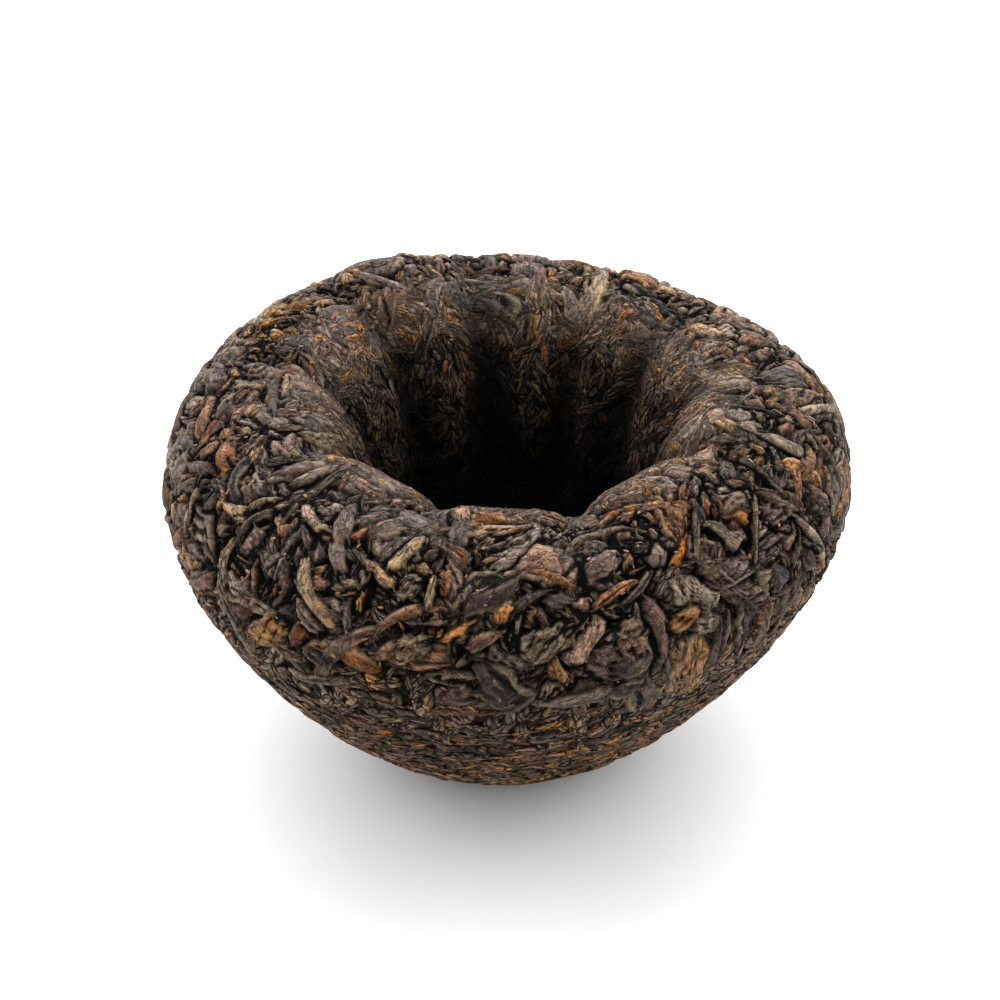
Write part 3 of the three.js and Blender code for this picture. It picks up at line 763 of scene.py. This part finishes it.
def strand_form(rng, x, y, run, over, thick):
    count = len(x)
    dome = np.sqrt(np.maximum(1 - np.abs(over) ** 2.4, 0))
    twist = draw(rng, (-1.2, 1.2), count, 1, 1)
    folds = draw(rng, (0.5, 1.2), count, 1, 1)
    phase = draw(rng, (0, np.pi), count, 1, 1)
    groove = draw(rng, (0.0, 0.45), count, 1, 1)
    roll = 1 - groove * (1 - np.abs(np.sin(np.pi * (folds * over + twist * run) + phase)) ** 0.5)
    return thick * (1.7 * dome * roll - 0.8) + crumple(rng, x, y, (0.6, 1.2), (0.0, 0.25), 0.2)


def flake_form(rng, x, y, run, over, thick):
    count = len(x)
    fold_at = draw(rng, (-0.6, 0.6), count, 1, 1) + draw(rng, (-0.5, 0.5), count, 1, 1) * run
    fold = np.clip((over - fold_at) / 0.25, 0, 1) * draw(rng, (-0.5, 0.5), count, 1, 1)
    buckle = sum(np.sin(draw(rng, (-1, 1), count, 1, 1) * x + draw(rng, (-1.4, 1.4), count, 1, 1) * y
                        + draw(rng, (0, 6.3), count, 1, 1)) for _ in range(3))
    flat = 1 - np.abs(over) ** 7
    relief = fold + 0.10 * buckle + rolled_edge(rng, over, thick)
    return thick * (1.4 * flat - 0.8) + relief * flat + crumple(rng, x, y, (1, 2.4), (0.05, 0.5), 0.9)


def crumpled_form(rng, x, y, run, over, thick):
    flat = 1 - np.abs(over) ** 6
    edge = rolled_edge(rng, over, thick) * flat
    return thick * (1.5 * flat - 0.8) + edge + crumple(rng, x, y, (1.0, 2.4), (0.5, 1.1), 0.7)


def shoulder_places(rng, to, count):
    """Places on the shoulder whose lower edge wanders, with their headings."""
    azimuth, along = between(rng, SHOULDER_FROM, to, count, SHOULDER_TRIES)
    low = np.clip((to - along) / (to - SHOULDER_FROM), 0, 1)
    return azimuth, along + low * waves(EDGE_WAVES, azimuth), any_heading(rng, count, SHOULDER_TRIES)


def lay_strands(name, seed):
    rng = np.random.default_rng(seed)
    leaves(name, leaf, rng, shoulder_places(rng, SHOULDER_TO + 2, STRANDS[name]), bend=0.16,
           length=(6, 15), width=(1.2, 3.6), thick=(0.7, 1.1), stations=19, across=9,
           form=strand_form, blunt=(1.6, 4), tint=leaf_tint, ragged=0.3, taper=(-0.45, 0.45))


lay_strands("rolled_strand", 51)

rng = np.random.default_rng(52)
leaves("crumpled_leaf", leaf, rng, shoulder_places(rng, SHOULDER_TO, CRUMPLED_COUNT), bend=0.10,
       length=(6, 14), width=(2.8, 7.5), thick=(0.6, 1.0), stations=21, across=15,
       form=crumpled_form, blunt=(1.5, 5), tint=leaf_tint, bits=0.15)

rng = np.random.default_rng(53)
leaves("flat_flake", leaf, rng, shoulder_places(rng, SHOULDER_TO + 4, FLAKE_COUNT), bend=0.10,
       length=(4.5, 11), width=(2.6, 6.8), thick=(0.5, 0.9), stations=15, across=13,
       form=flake_form, blunt=(1.5, 6), tint=leaf_tint, ragged=0.45)

lay_strands("rolled_strand_over", 54)

# ---------------------------------------------------------------- Fine leaf of the crest
# The crest and the inner edge of the rim are pressed hardest: short flat bits of leaf lie smooth over the
# ends of the large leaves there, with a paler tint than theirs that is painted sheen on the smooth crest.
CREST_FROM = AT_CREST - 6
CREST_TO = AT_CREST + 9
CREST_COUNT = 560
CREST_TRIES = 8
CREST_SPREAD = 50


# Crest bits take the paler end of the row: painted sheen.
def crest_sheen_tint(rng, count):
    return 0.16 + 0.70 * rng.beta(1.8, 1.7, count)


rng = np.random.default_rng(61)
crest_places = between(rng, CREST_FROM, CREST_TO, CREST_COUNT, CREST_TRIES)
crest_headings = down_heading(rng, CREST_SPREAD, CREST_COUNT, CREST_TRIES)
leaves("crest_bit", leaf, rng, (*crest_places, crest_headings), bend=0.08,
       length=(2.5, 6.5), width=(1.0, 2.8), thick=(0.35, 0.6), stations=9, across=7,
       form=flake_form, blunt=(1.6, 4), tint=crest_sheen_tint, tilt=(0.06, 0.03), bits=0.7)

# ---------------------------------------------------------------- Golden bits
# Broken buds and stalks keep a golden colour through the fermenting: bright bits 1 to 4 mm long that lie
# all over the cake.
GOLDEN_FROM = 8
GOLDEN_TO = AT_CREST + 22
GOLDEN_COUNT = 240
GOLDEN_TRIES = 6
golden = pressed_leaf("golden bud", ("#392515", "#654525", "#885e2f", "#9e7543"), 0.2)


def even_tint(rng, count):
    return draw(rng, (0.2, 0.8), count)


rng = np.random.default_rng(81)
golden_places = between(rng, GOLDEN_FROM, GOLDEN_TO, GOLDEN_COUNT, GOLDEN_TRIES)
leaves("golden_bit", golden, rng, (*golden_places, any_heading(rng, GOLDEN_COUNT, GOLDEN_TRIES)), bend=0.2,
       length=(0.9, 3.6), width=(0.35, 0.95), thick=(0.3, 0.5), stations=5, across=4,
       form=torn_form, blunt=(1.6, 4), tint=even_tint, ragged=0.2, taper=(0, 0))

# ---------------------------------------------------------------- Noted leaves
# The leaves that can be told one by one from the front: golden buds and stalks, russet flakes, rolled
# strands of olive and mauve, dark and pale leaf. Each lies where it is seen; positions are pixels of the
# front view, widths are mm.
PICTURE = 1000
NET_AZIMUTHS = 1000
NET_STEP = 0.25
NET_BIN = 3
NET_BEHIND = 1.5
STATIONS = 11


def in_picture(points):
    """Where points in mm show in the front view, and how far in front of the camera they lie."""
    off = points - eye
    away = off @ forward
    size = PICTURE * LENS / FILM / away
    return PICTURE / 2 + size * (off @ rightward), PICTURE / 2 - size * (off @ upward), away


net_azimuth, net_along = np.meshgrid(np.arange(NET_AZIMUTHS) * 2 * np.pi / NET_AZIMUTHS,
                                     np.arange(0.5, AT_FLOOR, NET_STEP))
net_across, net_down, net_away = in_picture(skin(net_azimuth, net_along, 0 * net_along))
net_pixel = (net_down // NET_BIN).astype(int) * PICTURE + (net_across // NET_BIN).astype(int)
nearest = np.full(PICTURE * PICTURE, np.inf)
np.minimum.at(nearest, net_pixel, net_away)
shown = net_away < nearest[net_pixel] + NET_BEHIND


def midrib(spots):
    """A curve over the skin through the start, middle and end of a leaf, and its length in mm."""
    found = [np.hypot(net_across[shown] - x, net_down[shown] - y).argmin() for x, y in spots]
    azimuth = np.unwrap(net_azimuth[shown][found])
    along = net_along[shown][found]
    if len(spots) == 2:
        azimuth = np.array([azimuth[0], azimuth.mean(), azimuth[1]])
        along = np.array([along[0], along.mean(), along[1]])
    share = np.linspace(0, 1, STATIONS)
    weights = np.stack([(1 - share) * (1 - 2 * share), 4 * share * (1 - share), share * (2 * share - 1)], 1)
    azimuth, along = weights @ azimuth, weights @ along
    round_way = np.gradient(azimuth) * radius_at(along)
    onward = np.gradient(along)
    return azimuth, along, np.arctan2(onward, round_way), np.hypot(round_way, onward)[1:].sum()


def noted(name, seed, material, form, thick, blunt, each):
    """Lays leaves where they are seen; each gives the spots that a midrib runs through, and its width."""
    rng = np.random.default_rng(seed)
    found = [midrib(entry[:-1]) for entry in each.values()]
    paths = [np.array([f[k] for f in found])[:, None] for k in range(3)]
    lengths = np.array([f[3] for f in found])
    widths = np.array([entry[-1] for entry in each.values()])
    leaves(name, material, rng, paths, bend=0, length=lengths, width=widths, thick=thick,
           stations=STATIONS, across=9, form=form, blunt=blunt, tint=even_tint,
           tilt=(0.05, 0.02), ragged=0.2, taper=(-0.2, 0.3))


# Russet leaf: young leaf that dried red-brown.
russet = pressed_leaf("russet leaf", ("#362115", "#5a3b27", "#795335", "#9b6f4a"), 0.2)
# Olive leaf: thicker leaf, grey-olive where it is rubbed.
olive = pressed_leaf("olive leaf", ("#231d17", "#3f352c", "#594e3f", "#726451", "#897962"), 0.2)
# Mauve leaf: smooth brown leaf with a violet cast.
mauve = pressed_leaf("mauve leaf", ("#191515", "#342c2a", "#514540", "#726356"), 0.2)
# Slate leaf: the darkest, fully fermented leaf.
slate = pressed_leaf("slate leaf", ("#0c0b0b", "#1b1818", "#2d2828", "#433b39"), 0.2)
# Pale leaf: old coarse leaf, grey-tan.
pale = pressed_leaf("pale leaf", ("#52483d", "#746858", "#8e7f6c", "#a5977f"), 0.2)

noted("slate_leaf", 91, slate, flake_form, (0.5, 0.8), (2, 5), {
    "dark_flat": ((466, 590), (488, 587), (510, 585), 4.6),
    "black_pod": ((618, 543), (636, 548), (654, 545), 2.0),
    "grey_flake": ((612, 690), (638, 690), 3.4),
    "dark_pod": ((510, 708), (540, 685), 2.0),
    "left_slate": ((235, 467), (216, 495), 1.7),
    "left_hook": ((259, 455), (235, 480), (239, 509), 2.3),
    "right_arc": ((687, 421), (749, 409), (800, 428), 1.0)})
noted("mauve_leaf", 92, mauve, flake_form, (0.5, 0.8), (2, 5), {
    "broad": ((580, 580), (601, 567), (622, 556), 3.7),
    "curved": ((600, 660), (630, 665), (655, 640), 4.6),
    "left_flake": ((305, 642), (319, 657), (333, 672), 3.2),
    "right_blade": ((814, 498), (827, 515), (830, 546), 1.8),
    "upright": ((461, 512), (458, 535), (455, 560), 2.8)})
noted("ridged_leaf", 93, olive, crumpled_form, (0.6, 0.9), (2, 5), {
    "left_ridged": ((388, 590), (426, 580), 3.5),
    "front_ridged": ((523, 660), (552, 645), (580, 630), 3.8),
    "rounded": ((322, 582), (345, 585), (368, 584), 3.0),
    "left_olive": ((270, 643), (307, 668), 2.5),
    "broad_tan": ((390, 655), (412, 650), (435, 645), 3.7),
    "fibrous": ((405, 678), (440, 680), (478, 679), 2.6),
    "rim_flat": ((293, 431), (325, 440), (359, 451), 2.4),
    "grey_folded": ((602, 600), (630, 616), 3.0),
    "shell": ((611, 625), (646, 629), 3.0)})
noted("russet_leaf", 94, russet, flake_form, (0.5, 0.8), (1.8, 5), {
    "curled": ((265, 548), (258, 577), (258, 605), 2.8),
    "flake": ((446, 566), (444, 596), 2.0),
    "orange": ((640, 580), (612, 592), (585, 612), 1.8),
    "teardrop": ((236, 412), (226, 445), (220, 476), 3.8),
    "right_upright": ((797, 465), (797, 510), 1.8),
    "rim_bit": ((332, 392), (350, 389), 0.9),
    "low_blade": ((400, 710), (450, 714), (500, 715), 1.1),
    "pink_strand": ((630, 505), (645, 513), (660, 525), 1.2),
    "pink_bit": ((561, 539), (573, 545), 1.0),
    "hollow_streak": ((564, 352), (566, 377), 1.2),
    "hollow_thin": ((566, 405), (567, 446), 0.8),
    "hollow_bit": ((576, 356), (574, 372), 1.3),
    "hollow_left": ((468, 360), (476, 372), 1.5),
    "hollow_low": ((462, 409), (478, 407), 1.0),
    "hollow_back": ((427, 311), (431, 319), 1.5)})
noted("olive_strand", 95, olive, strand_form, (0.8, 1.1), (2, 5), {
    "curved": ((308, 551), (308, 590), (337, 631), 2.3),
    "folded": ((384, 574), (408, 552), (428, 533), 2.3),
    "front_stalk": ((436, 570), (430, 596), (420, 622), 1.5),
    "low_blade": ((288, 675), (322, 682), (356, 685), 1.9),
    "left_blade": ((252, 512), (272, 509), (295, 505), 1.8),
    "long": ((566, 561), (591, 536), (652, 530), 1.8),
    "stub": ((561, 610), (583, 628), 1.5),
    "right_stalk": ((695, 501), (697, 540), (701, 579), 1.3),
    "right_olive": ((753, 462), (772, 483), (792, 501), 1.1),
    "right_brown": ((768, 442), (781, 479), 1.1),
    "right_wavy": ((756, 490), (757, 530), (753, 577), 1.2),
    "left_dome": ((242, 514), (266, 501), (286, 502), 1.5),
    "left_cone": ((290, 386), (303, 404), 1.0),
    "right_tan": ((805, 432), (818, 455), 1.2),
    "rim_tan": ((504, 545), (518, 541), (534, 536), 1.2),
    "hollow_stalk": ((452, 321), (462, 335), (472, 348), 1.0),
    "back_blade": ((701, 366), (727, 354), 1.0)})
noted("mauve_strand", 96, mauve, strand_form, (0.8, 1.1), (2, 5), {
    "pod": ((421, 558), (441, 550), 1.4),
    "left_short": ((302, 520), (311, 551), 1.5),
    "left_long": ((272, 530), (310, 495), (359, 463), 1.6),
    "left_blade": ((237, 551), (249, 524), (282, 509), 1.5),
    "right_pod": ((698, 469), (722, 485), 1.3),
    "right_thin": ((810, 431), (829, 460), (842, 496), 0.8),
    "right_low": ((802, 524), (790, 577), 1.1),
    "low_pod": ((538, 700), (563, 682), 2.5),
    "ball": ((218, 531), (227, 531), 2.2),
    "top_blade": ((352, 273), (388, 284), (419, 296), 1.8),
    "rim_curve": ((308, 504), (333, 502), 1.0)})
noted("pale_leaf", 97, pale, flake_form, (0.4, 0.6), (2, 5), {
    "over_rim": ((600, 264), (592, 299), (582, 334), 3.2),
    "stick": ((317, 364), (317, 386), 0.5),
    "tip": ((668, 313), (676, 319), 0.6)})
noted("golden_bud", 98, golden, strand_form, (0.5, 0.8), (1.8, 4), {
    "front_bud": ((498, 628), (503, 612), (516, 602), 2.2),
    "orange_stalk": ((527, 571), (552, 577), (578, 590), 1.4),
    "bright_tip": ((624, 574), (650, 562), 0.9),
    "left_twist": ((314, 525), (333, 540), (356, 539), 1.0),
    "left_pillow": ((268, 594), (279, 586), 1.8),
    "left_bit": ((212, 510), (230, 494), 0.9),
    "left_arc": ((295, 409), (320, 411), (349, 427), 0.6),
    "left_hook": ((234, 552), (249, 564), 0.6),
    "right_streak": ((823, 464), (831, 487), 1.1),
    "right_ball": ((756, 431), (765, 431), 1.2),
    "back_arc": ((553, 298), (565, 307), 0.6),
    "back_hook": ((619, 326), (624, 314), (638, 310), 1.0),
    "back_bit": ((626, 366), (630, 355), 0.5),
    "right_edge": ((677, 372), (696, 361), 0.8),
    "back_loop": ((543, 340), (544, 353), (544, 366), 0.9),
    "back_patch": ((707, 328), (717, 325), 0.9),
    "tan_arc": ((231, 368), (252, 351), (276, 354), 0.8),
    "top_cluster": ((339, 324), (354, 325), (369, 329), 1.0),
    "hollow_strand": ((380, 348), (390, 361), (398, 376), 0.8),
    "crest_bit": ((370, 266), (394, 267), 0.8),
    "rim_tip": ((369, 414), (373, 424), 0.7),
    "left_tan": ((220, 393), (235, 376), 1.0),
    "curl_edge": ((572, 708), (590, 713), (606, 707), 0.7),
    "leaf_edge": ((326, 591), (345, 595), (366, 589), 0.6),
    "pod_edge": ((543, 702), (564, 686), 0.6),
    "front_bit": ((436, 637), (446, 630), 0.8),
    "hollow_orange": ((382, 409), (388, 423), 0.9),
    "hollow_spark": ((403, 440), (408, 448), 0.8),
    "hollow_tan": ((501, 423), (503, 436), 0.7),
    "back_orange": ((549, 276), (558, 283), 1.3),
    "crest_orange": ((500, 256), (513, 262), 1.3)})

# ---------------------------------------------------------------- Gaps between the leaves
# Pressed leaves don't merge: where two meet, the edges of both bend down into a gap, which painted shade
# darkens. The gaps follow from which leaf lies uppermost, and are pressed into every leaf at the end. The
# rim's leaf is given a paler tint: painted light where the rim catches the most light.
GAP_DEPTH = 0.55
SMOOTH_GAPS = 0.5
GAP_FADES = (0.55, 0.5)
LEAST_FIRM = 0.4
# Low points take less painted shade where the cake is rubbed smooth.
SMOOTH_LIFTS = 1.5
# Painted light: the rim's leaf is given a paler tint where the rim catches the most light.
RIM_PAINTED_LIGHT = 0.07
RIM_FROM_TO = (AT_WIDEST + 6, AT_WIDEST + 14, AT_CREST - 5, AT_CREST + 2)
row_of = np.repeat(np.arange(len(cell_rows)), row_cells)
share_of = (np.arange(row_starts[-1]) - row_starts[row_of] + 0.5) / row_cells[row_of]


def beside_cell(rows, columns):
    row = np.clip(row_of + rows, 0, len(cell_rows) - 1)
    return row_starts[row] + ((share_of * row_cells[row]).astype(int) + columns) % row_cells[row]


neighbours = [beside_cell(0, 1), beside_cell(0, -1), beside_cell(1, 0), beside_cell(-1, 0)]
rng = np.random.default_rng(71)
firmness = rng.uniform(LEAST_FIRM, 1, leaf_total + 1)[top_leaf]
gaps = np.max([np.where(top_leaf[n] != top_leaf, (firmness[n] + firmness) / 2, 0) for n in neighbours], 0)
for fade in GAP_FADES:
    gaps = np.maximum(gaps, fade * np.max([gaps[n] for n in neighbours], 0))

for piece, azimuths, alongs, heights in laid_pieces:
    here = gaps[cell(azimuths, alongs)] * mix(SMOOTH_GAPS, 1, coarseness(alongs))
    sunk = flattened(heights - GAP_DEPTH * here, alongs)
    piece.data.vertices.foreach_set("co", (skin(azimuths, alongs, sunk) * MM).astype(np.float32).ravel())
    # Height among the leaves, for the painted shade of low points.
    lifts = heights / mix(SMOOTH_LIFTS, 1, coarseness(alongs))
    tints = np.empty(len(heights), np.float32)
    piece.data.attributes["tint"].data.foreach_get("value", tints)
    # Painted light on the rim.
    tints += RIM_PAINTED_LIGHT * np.interp(alongs, RIM_FROM_TO, (0, 1, 1, 0))
    piece.data.attributes["tint"].data.foreach_set("value", tints)
    for key, values in (("gap", here), ("lift", lifts), ("shade", shade_at(azimuths, alongs))):
        made = piece.data.attributes.new(key, "FLOAT", "POINT")
        made.data.foreach_set("value", values.astype(np.float32))
    piece.data.update()

# ---------------------------------------------------------------- Crumbs
# Crumbs of leaf and stalk, 0.2 to 1 mm long, cling to the leaves all over, most where the cake is
# rubbed smooth. Geometry Nodes strew them over a shell that follows the upper leaves, then it goes.
SHELL_AROUND = 480
SHELL_STEP = 0.6
CRUMBS_PER_MM2 = 0.32
FEW_ON_SHOULDER = 0.3
CRUMB_SMALLEST = 0.09
CRUMB_LARGEST = 0.24
CRUMB_STRETCH = ((0.8, 0.5, 0.3), (2.2, 1.0, 0.6))
CRUMB_TURN = ((-0.3, -0.3, 0), (0.3, 0.3, 6.28))

shell_azimuth, shell_along = np.meshgrid(np.arange(SHELL_AROUND) * 2 * np.pi / SHELL_AROUND,
                                         np.arange(FOOT_RADIUS, AT_FLOOR - SHELL_STEP, SHELL_STEP))
here = cell(shell_azimuth, shell_along)
shell_gap = gaps[here] * mix(SMOOTH_GAPS, 1, coarseness(shell_along))
shell_height = flattened(pile[here] - GAP_DEPTH * shell_gap, shell_along)
# The crumbs take the painted shade of the hollow too.
crumbs = mesh_of("crumb", skin(shell_azimuth, shell_along, shell_height).reshape(-1, 3),
                 [ring_quads(len(shell_along), SHELL_AROUND)],
                 shade=shade_at(shell_azimuth, shell_along).ravel(),
                 strewn=mix(1, FEW_ON_SHOULDER, coarseness(shell_along)).ravel())

crumb = pressed_leaf("leaf crumb", ("#1d1712", "#382c23", "#564535", "#755e45", "#8b6d46"), 0)
tree = bpy.data.node_groups.new("crumbs", "GeometryNodeTree")
tree.interface.new_socket("Geometry", in_out="INPUT", socket_type="NodeSocketGeometry")
crumb_inputs = {"Per Square Metre": ("NodeSocketFloat", CRUMBS_PER_MM2 / MM ** 2),
                "Smallest": ("NodeSocketFloat", CRUMB_SMALLEST * MM),
                "Largest": ("NodeSocketFloat", CRUMB_LARGEST * MM),
                "Seed": ("NodeSocketInt", 101),
                "Material": ("NodeSocketMaterial", crumb)}
for key, (kind, value) in crumb_inputs.items():
    tree.interface.new_socket(key, in_out="INPUT", socket_type=kind)
tree.interface.new_socket("Geometry", in_out="OUTPUT", socket_type="NodeSocketGeometry")
given = add(tree, "NodeGroupInput").outputs
strewn = add(tree, "GeometryNodeInputNamedAttribute", {"Name": "strewn"}, data_type="FLOAT")
density = add(tree, "ShaderNodeMath", {0: given["Per Square Metre"], 1: strewn.outputs[0]},
              operation="MULTIPLY")
spots = add(tree, "GeometryNodeDistributePointsOnFaces",
            {"Mesh": given["Geometry"], "Density": density.outputs[0], "Seed": given["Seed"]})
grain_size = add(tree, "FunctionNodeRandomValue",
                 {2: given["Smallest"], 3: given["Largest"], "Seed": given["Seed"]}, data_type="FLOAT")
stretch = add(tree, "FunctionNodeRandomValue", enumerate(CRUMB_STRETCH), data_type="FLOAT_VECTOR")
sized = add(tree, "ShaderNodeVectorMath", {0: stretch.outputs[0], "Scale": grain_size.outputs[1]},
            operation="SCALE")
about = add(tree, "FunctionNodeRandomValue", enumerate(CRUMB_TURN), data_type="FLOAT_VECTOR")
turned = add(tree, "FunctionNodeRotateRotation",
             {"Rotation": spots.outputs["Rotation"], "Rotate By": about.outputs[0]}, rotation_space="LOCAL")
speck = add(tree, "GeometryNodeMeshIcoSphere", {"Radius": 1.0, "Subdivisions": 1})
laid = add(tree, "GeometryNodeInstanceOnPoints",
           {"Points": spots.outputs["Points"], "Instance": speck.outputs["Mesh"],
            "Rotation": turned.outputs[0], "Scale": sized.outputs[0]})
tone = add(tree, "FunctionNodeRandomValue", {2: 0.0, 3: 1.0, "Seed": given["Seed"]}, data_type="FLOAT")
toned = add(tree, "GeometryNodeStoreNamedAttribute",
            {"Geometry": laid.outputs[0], "Name": "tint", "Value": tone.outputs[1]},
            data_type="FLOAT", domain="INSTANCE")
real = add(tree, "GeometryNodeRealizeInstances", {"Geometry": toned.outputs[0]})
coated = add(tree, "GeometryNodeSetMaterial",
             {"Geometry": real.outputs[0], "Material": given["Material"]})
add(tree, "NodeGroupOutput", {"Geometry": coated.outputs[0]})

strew = crumbs.modifiers.new("strew", "NODES")
strew.node_group = tree
for socket in tree.interface.items_tree:
    if socket.in_out == "INPUT" and socket.name in crumb_inputs:
        strew[socket.identifier] = crumb_inputs[socket.name][1]
made = bpy.data.meshes.new_from_object(crumbs.evaluated_get(bpy.context.evaluated_depsgraph_get()))
crumbs.modifiers.remove(strew)
crumbs.data = made
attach(crumbs, "root")

# ---------------------------------------------------------------- Table and light
# A pale sweep under and behind the cake, in a white tent that is lit from both sides and from behind, so
# that the rim is bright and the shadow is wide and soft.
SWEEP_HALF = 800.0
SWEEP_COLOUR = (0.65, 0.65, 0.65, 1)
SWEEP_ROUGHNESS = 0.9
TENT_COLOUR = (0.96, 0.98, 1.0, 1)
LIT_HEIGHT = 20

sweep_points = np.array([(-1, -1, 0), (1, -1, 0), (1, 1, 0), (-1, 1, 0)]) * SWEEP_HALF
sweep = mesh_of("sweep", sweep_points, [np.array([[0, 1, 2, 3]])])
paper = bpy.data.materials.new("white paper")
paper.use_nodes = True
matt = paper.node_tree.nodes["Principled BSDF"].inputs
matt["Base Color"].default_value = SWEEP_COLOUR
matt["Roughness"].default_value = SWEEP_ROUGHNESS
sweep.data.materials.append(paper)

world = bpy.data.worlds.new("tent")
bpy.context.scene.world = world
world.use_nodes = True
world.node_tree.nodes["Background"].inputs["Color"].default_value = TENT_COLOUR


def lamp(name, place, size, watts):
    """A round lamp that faces the cake, with its place and size in mm."""
    data = bpy.data.lights.new(name, "AREA")
    data.shape = "DISK"
    data.size = size * MM
    data.energy = watts
    made = bpy.data.objects.new(name, data)
    bpy.context.scene.collection.objects.link(made)
    towards = Vector((0, 0, LIT_HEIGHT)) - Vector(place)
    made.matrix_world = Matrix.LocRotScale(Vector(place) * MM, towards.to_track_quat("-Z", "Y"), None)


lamp("lamp_behind", (0, 640, 510), 1000, 8.6)
for side in (-1, 1):
    lamp("lamp_over", (450 * side, 250, 550), 800, 4)
    lamp("lamp_beside", (800 * side, -100, 450), 1000, 6.1)
bpy.context.scene.view_settings.view_transform = "Standard"
bpy.context.scene.view_settings.gamma = 0.9
